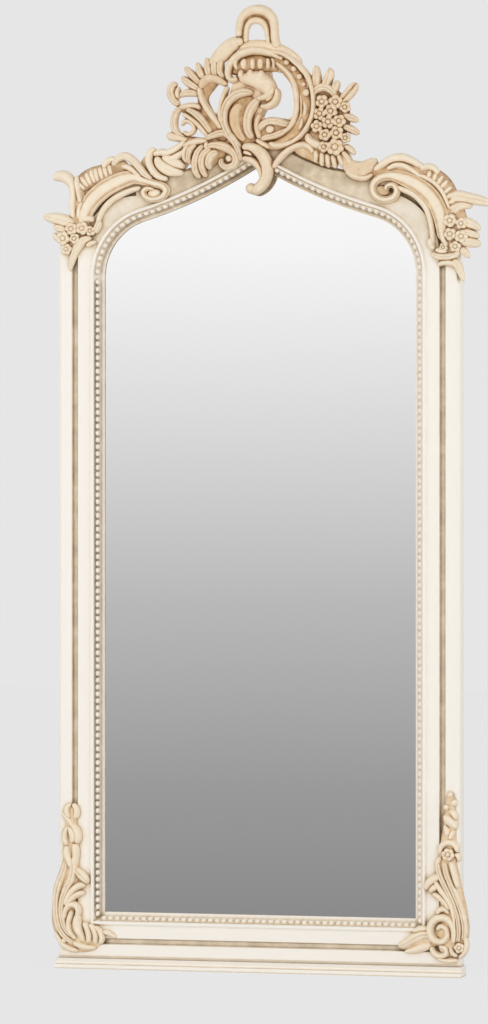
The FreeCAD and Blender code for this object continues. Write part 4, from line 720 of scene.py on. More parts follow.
# loop on top: ground, outer and inner rim, a leaf and a knob at its left, a foot
carve("finial", "crest_finial", "crest", finialSeat, limbs({"ground": 0.7}, [
    [(242, 42, 2.6, 2.4, 9), (242.4, 29, 2.8, 2.4, 9), (245.6, 19.6, 3, 2.4, 9), (256, 15, 3.2, 2.4, 9),
     (266.4, 19, 3, 2.4, 9), (270.4, 30, 2.8, 2.4, 9), (271.4, 44, 2.6, 2.4, 9)],
]) + limbs(plain, [
    [(238.6, 38, 3, 6, 10), (238.8, 28, 3.3, 6.5, 10), (241.5, 18.5, 3.7, 7, 10), (248, 12.4, 4.2, 7, 10),
     (257, 10.6, 4.5, 7, 10), (266, 13.2, 4.4, 7, 10), (272, 20.2, 4, 7, 10), (273.8, 30, 3.7, 7, 10),
     (274.3, 40, 3.7, 6.5, 10), (277, 50, 4, 6, 9.5)],
    [(245, 44, 2.4, 3.6, 9.5), (245.6, 31, 2.5, 3.8, 9.5), (248.6, 23.5, 2.9, 4, 9.5),
     (255, 20.8, 3.3, 4, 9.5), (261.8, 23.2, 3.2, 4, 9.5), (266, 30, 2.8, 4, 9.5),
     (267.4, 39, 2.4, 3.8, 9.5), (268.5, 47, 2.2, 3.6, 9.5)],
    [(206, 65, 2.4, 3, 8), (213, 61, 5, 4, 8.6), (221, 54.5, 7, 5, 9), (229, 47, 7, 6, 9.6),
     (236, 42.5, 5.6, 6.4, 10), (241, 41.5, 4.2, 6.2, 10)],
    [(238, 50, 4.5, 3, 9.5), (250, 47.5, 5.8, 4, 9.5), (262, 47.5, 5.8, 4, 9.5), (274, 50, 5.6, 4, 9.5),
     (288, 57, 5.4, 4, 9), (300, 67, 4, 3, 8)],
]) + bosses([
    (238.6, 42.2, 4.8, 6.6, 10.4, 16)
]))
# open ring: ground, inner and outer rim, leaves and beads between them
carve("ring", "crest_ring", "crest", frontSeat, limbs({"ground": 0.42}, [
    [(268, 60, 4, 4.4), (281, 65, 6, 5), (293, 75, 7.4, 5.4), (301, 88, 7.8, 5.6), (304, 102, 8.2, 5.8),
     (303, 117, 8.2, 5.8), (297, 131, 7.6, 5.4), (287, 141, 6, 5), (275, 146, 4.4, 4.6), (262, 146, 3, 4)],
]) + limbs(plain, [
    [(275, 63.5, 2, 7), (283, 69.5, 2.6, 8.4), (289.8, 77, 3, 9), (294.3, 87, 3.3, 9.4),
     (296.3, 98, 3.4, 9.6), (296.6, 110, 3.4, 9.6), (294, 120.5, 3.2, 9.2), (289, 129, 2.6, 8.4),
     (281, 135, 2, 6.6)],
    [(268, 53, 2.2, 8), (281, 55, 2.8, 9.2), (291, 61, 3, 9.8), (299.5, 69, 3, 10), (306.5, 78, 2.9, 10),
     (311, 89, 2.8, 10), (313, 101, 2.8, 10), (312.6, 113, 2.8, 9.8), (309.6, 123, 2.8, 9.4),
     (304, 132.5, 2.6, 8.8), (297, 140, 2.6, 8.4), (288, 145, 3, 8), (277, 146.6, 3.2, 7.8),
     (268, 144, 2.4, 6.4)],
    [(303, 103, 2.2, 7), (305.4, 110, 2.8, 8.6), (304, 118.5, 2.4, 7.8)],
    [(300, 96, 1.4, 6.4), (301.2, 106, 1.8, 7.6), (300.6, 117, 1.6, 7), (297, 126, 1.4, 6)],
    [(301, 119, 1.8, 6.6), (301.6, 125, 2.4, 8), (298.6, 132, 2.2, 7)],
]) + bosses([
    (286.6, 64.3, 3, 4.6, 4.6), (293.6, 70.8, 3.2, 4.6, 4.8), (299.4, 78.6, 3.2, 4.6, 5),
    (303.6, 86.4, 2.6, 4.2, 5), (306.2, 94.6, 4, 4.6, 5.2, 16), (281, 59.8, 2.2, 4.2, 4.4)
]))
# Upper row of flutes: across at the foot, the middle and the tip, then half width.
# "fluteRows" has down, the share of the half width and the rise for each place.
shellFlutes = (((237, 234.6, 236.8), 2.4), ((244, 243.2, 244), 3.4),
               ((252, 252.4, 252), 2.8), ((259.6, 260, 259.6), 3.2),
               ((267, 268, 267), 2.4), ((272.6, 273.6, 271.6), 1.9))
fluteRows = ((70.4, 0.75, 4.6), (64.4, 1, 6.2), (58.8, 0.85, 5.4))
flutes = [[(x, y, half * share, rise, 1) for x, (y, share, rise) in zip(places, fluteRows)]
          for places, half in shellFlutes]
# shell: ground, scrolled lip, folds below it, two rows of flutes
carve("shell", "crest_shell", "crest", frontSeat, limbs(ground, [
    [(231, 74, 3, 3), (240, 67, 7, 3.6), (254, 64, 8, 3.6), (268, 66, 6, 3.6), (277, 71, 3, 3)],
]) + limbs(plain, [
    [(283, 61, 2.2, 6), (272, 55, 3.6, 8.4), (261, 51.6, 4, 9), (250, 51.2, 4.2, 9.4), (241, 54, 4.2, 9.6),
     (233.5, 59.8, 4, 9.6), (228.6, 67, 3.6, 9.4), (227.4, 74, 3.2, 9), (230, 79.6, 2.8, 8.4),
     (234.6, 79.6, 2.6, 8.2), (235.4, 76.4, 1.8, 7.6)],
    [(238, 79, 3, 5.4), (246, 79, 6, 7), (257, 80.5, 8.2, 7.6), (266, 86.5, 7.8, 8), (269.5, 95, 6, 7.6),
     (266, 103, 3.4, 6)],
    [(256, 99.5, 1.8, 6), (263, 98.4, 3.2, 8.8), (270, 94.6, 4.2, 9.4), (274, 88, 3, 8.2)],
    [(259.6, 106.5, 1.8, 6), (266.5, 107.3, 3, 8.6), (273.4, 103.6, 3.6, 9), (276.6, 96.5, 3.2, 8.6),
     (275.6, 89, 2.4, 7)],
    [(241.4, 69.5, 2.2, 5), (240.4, 74.6, 3.2, 7.6), (241.6, 80, 2.8, 7)],
    [(250.6, 69.5, 2.4, 5), (249.8, 74.4, 3.8, 7.8), (251.6, 80, 3.2, 7.2)],
    [(260.4, 70.5, 2.2, 5), (260.4, 75.4, 3.6, 7.6), (259, 81, 3, 7.2)],
]) + limbs(plain, flutes, 11, 6))
# plume: low grounds, long leaves, and the bowl at its right with a knob in it
carve("plume", "crest_plume", "crest", frontSeat, limbs(ground, [
    [(252, 98, 5, 2.4), (241, 106, 9, 2.8), (239, 122, 11, 2.8), (245, 137, 10, 2.8), (254, 144, 7, 2.4)],
], 17) + limbs(veined, [
    [(252.6, 93.6, 2.4, 7), (244.5, 92.6, 4, 9), (235.5, 95, 4.4, 9.8), (228, 101.6, 4.2, 10),
     (223.8, 111.5, 3.9, 10), (223.8, 123, 3.8, 9.8), (227.6, 133, 3.8, 9.4), (234, 142, 3.8, 8.8),
     (241, 149, 3, 7)],
    [(259.4, 99.6, 2.2, 6), (254.6, 103.6, 4.2, 8.8), (249.6, 111, 4.5, 9.4), (247, 121, 4.3, 9.4),
     (247.6, 131, 4, 9), (252, 139.6, 3.2, 7.4)],
    [(257.4, 132, 2.4, 5), (261, 126.6, 3.6, 7), (268.6, 122.6, 4, 7.6), (278, 123, 3.8, 7.2),
     (286.4, 126, 3.2, 6.4), (292.4, 124, 2, 4)],
    [(259.4, 141, 2.4, 5), (265.6, 138.4, 3.2, 6.8), (273.6, 136.6, 3.4, 7), (281.6, 133.6, 3.2, 6.6),
     (289, 129, 2, 5)],
]) + limbs({"ground": 0.22, "channel": 0.16, "channelWidth": 0.3}, [
    [(241, 104, 3.2, 4), (235, 111, 5.4, 6), (233.8, 122, 5.6, 6.2), (237.6, 133, 5, 6),
     (245, 141.5, 3.4, 5)],
]) + limbs({"ground": 0.18}, [
    [(259, 114, 2.2, 4), (256.4, 122, 3, 5.6), (256.6, 131, 3, 5.8), (260, 140, 2.8, 5.4)],
]) + limbs(ground, [
    [(258, 140, 6, 2.4), (268, 132, 9, 2.8), (281, 128, 8, 2.8), (292, 124, 3, 2)],
]) + bosses([
    (269.6, 130.4, 4.6, 6, 2.2, 16)
]) + limbs(plain, [
    [(255, 140, 2.4, 5), (261.6, 144.4, 3.2, 6.4), (269.6, 148.6, 2.6, 5.6)],
]))
# hook that hangs down from the crest, and two leaves laid on it
carve("pendant", "crest_pendant", "crest", pendantSeat, limbs({"channel": 0.10, "channelWidth": 0.2}, [
    [(241.6, 148, 3.2, 5), (249.6, 147.8, 4, 6.6), (257.6, 151.4, 5, 7.4), (263.4, 158.8, 5.6, 7.6, -1),
     (265.8, 168, 5.6, 7.6, -3), (264.8, 177.2, 5.4, 7.4, -4.6), (260.4, 185, 5.2, 7.4, -6),
     (254.2, 189.6, 5, 7.2, -7), (248.4, 189.6, 4.4, 7, -7.4)],
]) + bosses([
    (248.8, 188.4, 5.4, 7.4, -7.2, 16)
]) + limbs(plain, [
    [(242, 158.6, 2.2, 5), (248.4, 160, 3.2, 7), (254.6, 163.6, 3.2, 7.2, -1), (258.8, 170, 2.6, 6.6, -3),
     (260.4, 178, 2, 6, -4.6)],
    [(243, 152.6, 2.2, 5), (247.6, 153.6, 2.2, 6.4), (252, 156, 1.6, 6)],
]))
# left foot: ground, a long leaf, a curl round a knob, leaves fanned out
carve("scroll_left", "crest_scroll_left", "crest", frontSeat, limbs(ground, [
    [(226, 148, 7, 2.6), (213, 152, 10, 3), (202, 160, 10, 3), (196, 171, 6, 2.4)],
], 17) + limbs(veined, [
    [(203.6, 138.6, 2.4, 5.6), (213, 135, 3.4, 8), (223, 132.6, 3.8, 8.8), (230.6, 136.8, 3.9, 9),
     (235.4, 144.6, 3.7, 8.8), (239, 153.4, 3.2, 8.4), (241.4, 161.6, 2.4, 7)],
    [(204, 147, 2.6, 5), (213, 145, 3.8, 7), (223, 146.6, 4.4, 8), (230.8, 150.6, 4.4, 8.4),
     (235.4, 157.2, 4.2, 8.4), (233.8, 164.6, 3.8, 8), (226.6, 167.4, 3.4, 7.6), (221, 163.6, 3, 7.2),
     (221.6, 158, 2.2, 6.6)],
    [(218, 151, 3.4, 5.6), (211, 154.6, 4.4, 7), (207.6, 162, 4, 6.6), (209.4, 169.4, 2.2, 4.4)],
    [(211, 147.6, 3, 5.6), (203.6, 153, 3.9, 7.2), (200.6, 161, 3.9, 7.2), (201.8, 170, 3.2, 6.4),
     (205.6, 177, 1.8, 4)],
    [(203.6, 144, 2.8, 5.6), (197.4, 151.4, 3.5, 7), (194.6, 160.6, 4, 7.4), (195, 170, 3.6, 6.8),
     (199, 178, 2, 4.4)],
    [(196, 142.6, 2.6, 5.4), (189.4, 148.6, 3.4, 6.8), (187.6, 156.6, 3.2, 6.6), (190.2, 163.6, 2.2, 5)],
]) + bosses([
    (229, 158.8, 3.8, 5.6, 2.4, 14)
]) + limbs(plain, [
    [(188.6, 143.6, 2.2, 5), (184, 149.6, 3, 6.4), (183.6, 156.6, 2.6, 5.8), (186.4, 162, 1.6, 4)],
    [(206.4, 140.6, 2, 5), (205.6, 145.6, 2.6, 6.8), (207, 150.6, 2, 6)],
]))
# right foot: low grounds, the rim between ring and arch, a leaf
carve("scroll_right", "crest_scroll_right", "crest", frontSeat, limbs({"ground": 0.3}, [
    [(292, 147, 5, 2), (303, 150, 7.4, 2.2), (314, 154, 8, 2.2), (325, 160, 7, 2), (336, 165, 4, 2)],
]) + limbs(plain, [
    [(271.6, 169, 2.4, 4.4), (277.6, 161, 3, 6), (284.6, 153.6, 3.2, 7), (292.6, 148.4, 3.2, 7.4),
     (301.4, 146, 3.2, 7.4), (308.6, 148.6, 3, 7), (312.8, 155, 2.2, 5.6)],
    [(344, 172.6, 2.4, 4.4), (353, 178.4, 3, 5.6), (363, 180.2, 2.8, 5.4), (371.6, 176.6, 2, 4.4)],
]) + limbs({"ground": 0.4}, [
    [(362, 173, 5, 2.2), (374, 173, 7, 2.4), (386, 173, 6, 2.2), (398, 173, 4, 2)],
]) + limbs({"channel": 0.30, "channelWidth": 0.6}, [
    [(338, 157, 3.2, 5), (343.6, 164, 5, 6.8), (351, 170.2, 6.8, 7.6), (360.4, 172, 7.4, 7.8),
     (368.4, 167.4, 5.8, 7.2), (374.6, 161.6, 3.2, 5)],
]))
# leaf spray at the left: low grounds, stems, leaves along its outer side, a curl
carve("spray", "crest_spray", "crest", frontSeat, limbs(ground, [
    [(226, 140, 5, 2.4), (215, 128, 7, 2.6), (206, 113, 6, 2.4), (202, 98, 5, 2.4), (206, 84, 8, 2.6),
     (212, 75, 8, 2.4), (214, 68, 5, 2)],
    [(212, 132, 5, 2.2), (199, 119, 5, 2.4), (188, 110, 4, 2.2), (178, 106, 3, 2)],
    [(206, 142, 4, 2.2), (192, 141, 4.5, 2.2), (178, 138, 3, 2)],
]) + limbs(plain, [
    [(198.4, 86, 2.6, 6.6), (200.2, 95, 2.9, 7.8), (204.2, 104.4, 3.1, 8), (209.4, 112.6, 3.3, 8),
     (215.6, 120.4, 3.3, 7.8), (222, 129.6, 3, 7)],
    [(227, 86, 2.2, 6), (223.4, 95.4, 2.7, 7.2), (220.8, 105.6, 2.9, 7.6), (219.8, 115.6, 3.1, 7.6),
     (222.4, 126, 3, 7)],
    [(177.6, 98, 2.2, 5.4), (176.4, 91.6, 2.8, 6.6), (178.2, 85.6, 2, 5)],
    [(201, 107.4, 2.8, 5.6), (192.6, 105, 3, 6.4), (184.6, 105.6, 2.9, 6.4), (178, 106.6, 2.2, 5)],
    [(181.6, 112.6, 2.2, 5.4), (189.4, 117.4, 2.7, 6.8), (196.6, 123.2, 2.9, 7), (202.6, 130, 2.6, 6.2),
     (208, 137, 2, 5)],
    [(180.4, 124.6, 1.9, 5.4), (183.6, 120.6, 2.1, 6.2), (189, 121, 2.2, 6.6), (193.4, 125.4, 2.2, 6.6),
     (192.4, 130.8, 2.2, 6.2), (187, 133.4, 2.1, 6), (182, 130.6, 1.8, 5.4)],
    [(187, 139.6, 2.6, 5.4), (178.6, 137, 3.4, 6.8), (170.6, 135, 3.9, 7), (165, 133.4, 2.8, 5.4)],
    [(207, 140.6, 2.6, 5.6), (198, 140.6, 3.3, 6.8), (189, 142.4, 3.2, 6.4), (181, 145.6, 1.9, 4.2)],
]) + limbs({"ground": 0.16}, [
    [(226.6, 85, 2.6, 5.4), (218.6, 79.6, 4, 6.8), (209.4, 77.4, 4.4, 7.2), (202.6, 81.4, 4.2, 7.2),
     (199.6, 88.6, 3, 6.6)],
]) + limbs(veined, [
    [(224, 78, 2.6, 5.4), (219.6, 71.6, 3.8, 7), (219.6, 64, 3.4, 6.4), (222, 57.6, 2, 4.2)],
    [(215.6, 77, 3, 5.4), (213.8, 70.4, 4, 7), (213.6, 63, 3.4, 6.2), (214.8, 57, 1.8, 4)],
    [(209, 77, 3, 5.4), (207.4, 70, 3.9, 7), (206.4, 62.6, 3.2, 6), (205.6, 57, 1.6, 3.6)],
    [(203.4, 79, 2.8, 5.4), (199.8, 72.6, 3.8, 6.8), (197.4, 66.2, 3, 5.8), (195.6, 61.4, 1.5, 3.4)],
    [(200.6, 84, 2.8, 5.6), (194.6, 78, 3.6, 7), (188.6, 71.4, 3.4, 6.6), (183.6, 65.6, 1.8, 4)],
    [(199.4, 89.6, 2.8, 5.6), (192.6, 85, 3.8, 7), (185.6, 80.2, 3.6, 6.6), (180, 75.4, 1.9, 4)],
    [(198.4, 93.4, 2.6, 5.6), (190.6, 91.8, 3.5, 6.8), (183.6, 92.2, 3.2, 6.6), (178.4, 95.2, 2, 5)],
    [(178.6, 104.4, 2.4, 5), (173, 99, 3.6, 7), (170, 91.4, 4.2, 7.8), (171.6, 84.6, 3.8, 7.2),
     (176.6, 82, 2.2, 5)],
    [(185, 107.4, 2.4, 5.6), (192.6, 111.6, 3.6, 7.4), (200, 118, 3.8, 7.6), (205.8, 125.6, 3.4, 7),
     (211, 133.4, 2.6, 5.8)],
    [(180.6, 106.4, 2.6, 5.4), (175.4, 111, 3.4, 6.8), (173, 119, 3.6, 7.2), (173.8, 127.4, 3.4, 6.8),
     (178, 133.6, 2.8, 6), (184.4, 136.6, 2.2, 5)],
]))
# flowers at the right: ground, leaves round the bunch, flowers
carve("flowers", "crest_flowers", "crest", frontSeat, limbs(ground, [
    [(306, 148, 6, 2.6), (318, 140, 12, 3), (330, 126, 15, 3), (330, 110, 14, 3), (321, 96, 11, 3),
     (312, 84, 6, 2.6)],
], 17) + limbs(veined, [
    [(308, 93, 2.8, 5), (307.8, 83.6, 3.6, 6.4), (306.6, 75.4, 2.4, 4.6)],
    [(316, 93, 4, 5.6), (315, 84, 4.6, 7), (315.2, 75.6, 4, 6.6), (314.4, 67.4, 2.4, 4.6)],
    [(322.4, 92, 3.6, 5.6), (325.8, 83.4, 4.5, 7), (328.4, 76, 3.9, 6.6), (328, 70, 2.2, 4.4)],
    [(330, 96, 3.2, 5.4), (334.2, 89, 3.8, 6.6), (336.6, 82.6, 2.2, 4.6)],
    [(311.4, 100, 2.8, 6), (314.8, 92.6, 4, 8.2), (323, 89.4, 4.2, 8.6), (330.4, 93.4, 3.6, 8),
     (334.6, 100, 2.2, 6)],
    [(341, 117, 3, 5.4), (349.6, 120.6, 3.4, 6.4), (357, 123.6, 2, 4.4)],
    [(341, 128, 3, 5.4), (349.6, 132, 3.6, 6.6), (357.6, 136.4, 2.2, 4.6)],
]) + limbs({"channel": 0.55, "channelWidth": 0.22}, [
    [(337, 107, 3.2, 5.6), (343.6, 100, 4.6, 7.2), (350.4, 92.2, 4.8, 7.4), (355.6, 85.6, 3.2, 6)],
]) + limbs(plain, [
    [(306, 134.6, 2.8, 5.6), (308.6, 142, 4.2, 7.2), (315.4, 146, 4.6, 7.4), (322, 146, 3, 6)],
    [(314.4, 151.4, 2.8, 5.4), (315.4, 158, 3, 6.4), (314.4, 164.6, 1.9, 4.4)],
    [(320.6, 153.4, 2.8, 5.6), (321.4, 161, 3.2, 6.8), (320.6, 168, 2, 4.8)],
    [(326, 155, 2.8, 5.6), (327, 162.6, 3.1, 7), (327.2, 169.6, 2, 5)],
    [(331.4, 156, 2.8, 5.6), (333.2, 163.4, 3.1, 7), (334, 170.4, 2, 5)],
    [(336.6, 155.4, 2.8, 5.6), (339.6, 162.6, 3.1, 7), (341.6, 169.6, 2, 5)],
    [(340.6, 153, 2.8, 5.6), (345.4, 159, 3, 6.8), (349, 165.6, 1.9, 4.6)],
    [(342.4, 147.6, 2.6, 5.6), (348.6, 151.6, 2.9, 6.4), (353.6, 157, 1.8, 4.4)],
]) + flowers([
    (321.6, 104, 7.2, 7.8, 0.3, 2.1), (335, 104.6, 7.4, 8, 0.9, 2.1), (344.4, 110, 5.8, 7.2, 0.4, 2.1),
    (319.4, 116, 7, 8, 0, 2.1), (330.4, 113.6, 7, 8.8, 0.5, 2.1), (328, 124.4, 7.2, 8.8, 1.1, 2.1),
    (338.6, 123.6, 6.8, 8.2, 0.2, 2.1), (316.6, 128.4, 6.6, 7.6, 0.8, 2.1),
    (336, 135.4, 7.4, 8.4, 0.6, 2.1), (324.6, 137, 6.6, 7.8, 0.1, 2.1), (334.6, 149.4, 9, 8.6, 0.3, 2.1, 6),
    (344.8, 140.6, 5.2, 7, 0.7, 2.1), (323.6, 149, 6, 7, 0.5, 2.1)
]))

# shoulders
# left band with its volute, the volute's eye, a fine moulding inside the band
carve("band_left", "scroll_band_left", "shoulder_left", frontSeat, limbs({"edges": 0.6}, [
    [(79, 224, 6.4, 5), (82.4, 209.6, 7.4, 6), (89.6, 198, 7.9, 6.2), (99.6, 188.8, 8, 6.2),
     (111, 182, 7.8, 6.2), (122, 177.6, 7.4, 6.2), (132, 176, 6, 6.4), (142, 179.2, 4.4, 7),
     (151, 182.2, 3.8, 7.4), (159.6, 184.6, 3.5, 7.6), (164.6, 189.6, 3.4, 7.4), (161, 196, 3.2, 7.2),
     (152, 198.4, 3, 7), (144.4, 196, 3, 7), (141.8, 190.6, 2.7, 7), (146.4, 187.4, 2.4, 6.8),
     (152.6, 188.8, 2, 6.6)],
], 27) + limbs(plain, [
    [(146, 192, 4.4, 4), (152.6, 193, 5, 5.6), (159, 191, 3.4, 5)],
    [(94, 226, 1.8, 4), (97.6, 214, 2.5, 5), (103.4, 204.6, 2.7, 5.4), (111, 197.6, 2.7, 5.4),
     (120, 192.6, 2.7, 5.4), (130, 188.6, 2.5, 5), (139, 186.4, 1.8, 4)],
]))
# right band, made the same way
carve("band_right", "scroll_band_right", "shoulder_right", frontSeat, limbs({"edges": 0.6}, [
    [(439.4, 244, 4.8, 5), (438.6, 231, 6.2, 5.8), (436.4, 218.4, 7.4, 6.2), (432, 207.4, 7.9, 6.2),
     (425, 197.8, 7.9, 6.2), (416, 190, 7.8, 6.2), (406, 184.2, 7.4, 6.2), (396, 180.4, 6.2, 6.4),
     (386.4, 178.8, 4.6, 6.8), (377.6, 180.8, 3.8, 7.2), (371.4, 186.2, 3.5, 7.4), (370.4, 193.8, 3.4, 7.4),
     (375, 200.4, 3.3, 7.2), (383.4, 202.8, 3.2, 7), (391, 200, 3.1, 7), (393.8, 193.6, 2.9, 7),
     (390.2, 188.2, 2.6, 6.8), (384.4, 189.4, 2.4, 6.6), (383, 194.4, 2, 6.2)],
], 27) + limbs({"ground": 0.5}, [
    [(374, 190, 3.4, 3.4), (379, 194, 4.4, 4), (386, 195.4, 3.4, 4)],
]) + limbs(plain, [
    [(391, 189.6, 1.8, 4), (400, 193, 2.5, 5), (409.4, 197.6, 2.7, 5.4), (417, 204.4, 2.7, 5.4),
     (423, 213.4, 2.7, 5.4), (426.6, 224.6, 2.5, 5), (428.4, 238, 2.3, 4.8), (429, 248, 1.8, 4)],
]))
ridgeSeat = 0.030
# the middle of each ridge, as across, down and half width
leftRidge = [(75, 189, 5), (81, 180.4, 7.6), (89.4, 175, 8.2), (98.4, 171.6, 7.6), (107.6, 167.8, 6.6),
             (117, 164.4, 5.4), (126, 163.6, 4)]
rightRidge = [(448.6, 211, 4.6), (446, 200.6, 6.6), (440.6, 190.6, 7.4), (433, 182.6, 7.2),
              (424, 177.4, 6.4), (414, 174.4, 5.6), (403, 171, 5), (392, 170.4, 4)]
# left ridge: low grounds, rims, leaves towards the crest, ribs
carve("ridge_left", "shoulder_ridge_left", "shoulder_left", ridgeSeat,
      ridgeGround(leftRidge) + limbs(plain, [
    [(78, 201, 2, 5.2, 6.6), (76.2, 190.6, 2.6, 6.2, 7.4), (74.6, 181, 2.7, 6.4, 7.6),
     (74.4, 173, 1.8, 5, 7)],
    [(101, 166.6, 2, 5.6, 7), (104.6, 160.6, 3, 6.6, 8), (110.6, 157.4, 2.8, 6.6, 8),
     (115, 160.6, 2.2, 6, 7.6)],
    [(119.6, 164.4, 2.2, 5.4, 7), (127, 166, 2.7, 6, 7.4), (133.6, 170.8, 2.7, 6, 7.4),
     (140, 177, 2, 5, 7)],
    [(151, 153.6, 2.4, 5, 6), (158, 151.4, 3.2, 6.2, 6.6), (166, 151.6, 3.3, 6.2, 6.6),
     (174, 148.4, 3.2, 6, 6.4), (181, 142.6, 2.8, 5.2, 6), (186, 136.4, 1.8, 4, 5)],
    [(162, 158, 2.4, 5, 6), (170, 157.6, 3, 6, 6.4), (178, 154, 3, 6, 6.4), (186, 147.6, 2, 4.4, 5)],
    [(154, 147.4, 2.2, 5, 6.4), (148.8, 151.2, 3.2, 6.4, 7.4), (147.2, 159.4, 3.3, 6.8, 8),
     (150.4, 168.2, 3.3, 6.8, 8), (157, 175.4, 3.1, 6.6, 7.6), (166, 178.8, 2.2, 5, 6.6)],
]) + limbs(veined, [
    [(110.6, 164.4, 2.2, 5.6, 7), (115.6, 157.2, 3.3, 6.8, 8), (123.4, 154.6, 3.6, 6.8, 8),
     (130.8, 158.6, 3.6, 6.8, 8), (136.8, 165.2, 3.4, 6.8, 8), (143, 172.6, 3.2, 6.6, 8),
     (150.4, 178.8, 2.4, 5.6, 7)],
    [(154.6, 155, 2.6, 4.6, 6), (157.6, 162.6, 4.6, 5.8, 6.6), (165, 168.6, 5.2, 5.8, 6.6),
     (174.6, 171.6, 3.8, 5, 6), (182, 172.6, 2, 3.6, 5)],
    [(160, 155.4, 3, 4.4, 5.6), (167, 158.4, 4.6, 5.4, 6.2), (175, 162.6, 4.4, 5.2, 6),
     (183, 166.6, 2.4, 4, 5)],
]) + limbs({"ground": 0.45}, [
    [(138, 168, 6, 2.4, 3), (150, 162, 9, 2.6, 3), (163, 162.6, 10.5, 2.6, 3), (175, 159, 10.5, 2.4, 3),
     (186, 152.6, 8, 2, 2)],
], 13) + limbs({"ground": 0.5}, [
    [(78, 206, 4, 1.6, 2), (80, 194, 7, 2.2, 2.6), (88.6, 184.6, 8, 2.4, 3), (99.4, 178.6, 8, 2.4, 3),
     (112, 173.6, 7, 2.4, 3), (126, 170.6, 5, 2, 2.6)],
], 11) + ribs(leftRidge, 9, 2.7, 2))
# right ridge: low grounds, rims, ribs
carve("ridge_right", "shoulder_ridge_right", "shoulder_right", ridgeSeat,
      ridgeGround(rightRidge) + limbs(plain, [
    [(371, 173.6, 2.2, 5, 6.4), (379.6, 167.6, 3.3, 6.4, 7.4), (388.8, 162.6, 3.7, 6.8, 8),
     (398.8, 161.2, 3.8, 6.8, 8), (408, 164.2, 3.5, 6.8, 8), (416, 168.8, 2.8, 6.2, 7.6),
     (423, 172.6, 1.8, 5, 7)],
    [(384, 172.6, 2, 5, 6.6), (392.6, 168.6, 2.7, 6, 7.2), (402, 169.8, 2.7, 6, 7.2),
     (410.4, 175, 2.4, 5.6, 7), (417, 180, 1.8, 4.8, 6.6)],
    [(412, 178, 1.6, 5, 7), (421.4, 181, 2, 6, 7.6), (430.4, 186.6, 2, 6, 7.6), (437.6, 194.4, 2, 6, 7.6),
     (442.4, 204, 1.8, 5.6, 7.4), (445.6, 213, 1.4, 4.8, 7)],
    [(417, 173.6, 2.2, 5.4, 7), (424.4, 170.6, 3, 6.4, 7.8), (431, 173, 2.8, 6.4, 7.8),
     (434.4, 178.6, 2, 5.6, 7)],
]) + limbs({"ground": 0.5}, [
    [(448, 213, 4, 1.6, 2), (443.6, 199, 7, 2.2, 2.6), (435, 188, 8, 2.4, 3), (423.6, 180.6, 8, 2.4, 3),
     (410, 175.6, 7, 2.4, 3), (396, 172.6, 6, 2, 2.6), (383, 173.6, 4, 1.8, 2)],
], 11) + ribs(rightRidge, 8, 2.6, -2))
# left spray: low grounds, the curled tip, leaves, flowers
carve("spray_left", "shoulder_spray_left", "shoulder_left", frontSeat, limbs(ground, [
    [(76, 198, 4, 2), (75, 212, 7, 2.6), (74, 226, 12, 2.8), (71, 240, 11, 2.8), (68, 250, 6, 2)],
], 17) + limbs({"ground": 0.5}, [
    [(77, 186, 4, 2), (76, 198, 5.4, 2.4), (75.6, 212, 6, 2.4)],
]) + limbs(plain, [
    [(70.6, 216, 3.2, 5.6), (69.6, 203, 3.4, 6.8), (70.6, 191.4, 3.6, 7.4), (69.2, 181.6, 4.6, 7.8),
     (63, 174.6, 5.2, 7.8), (55.6, 173.4, 4.8, 7.2), (49.6, 176.4, 2.8, 5)],
    [(76.4, 217, 2.8, 5.6), (76.6, 208, 2.6, 6.6), (79.6, 199.6, 2, 5.6)],
    [(62, 240.6, 2.6, 5), (54.6, 236, 3.2, 6), (49.6, 230.6, 1.8, 4)],
    [(80, 220, 2.6, 5.6), (86.6, 216.6, 3.4, 7), (91.6, 219.6, 2.6, 6)],
    [(83.6, 244.6, 1.8, 4.6), (88.6, 241.4, 2.2, 5.4), (94, 240, 1.4, 4)],
]) + limbs(veined, [
    [(72, 222.6, 4, 5.6), (62.4, 218.8, 5.6, 7.2), (52.4, 216, 5.2, 7), (44.8, 214.8, 3.8, 6),
     (39.4, 213.8, 1.8, 3.8)],
    [(66, 230, 3, 5.4), (57.4, 226.4, 3.9, 6.6), (49.6, 223.4, 2.2, 4.8)],
    [(89, 236, 2.8, 5.6), (81.2, 238.4, 4, 7), (75, 244.6, 4.2, 7), (71, 253, 3.5, 6.4),
     (68.4, 261.6, 2.6, 5), (67, 269.4, 1.3, 3)],
    [(91.4, 231.6, 2.4, 5.6), (95, 225.4, 3.4, 7.2), (97.4, 218.4, 2.4, 6)],
]) + flowers([
    (61, 236.4, 7.4, 8.4, 0.2, 1.8), (69.6, 227, 6.6, 8.2, 0.7, 1.8), (64.4, 247.4, 5.8, 7.4, 1.2, 1.6),
    (80.6, 226.6, 6.8, 8.4, 0.1, 1.8), (88.6, 229.4, 5.2, 7.4, 0.8, 1.6), (72.6, 236.8, 5.6, 7.8, 0.4, 1.6)
]))
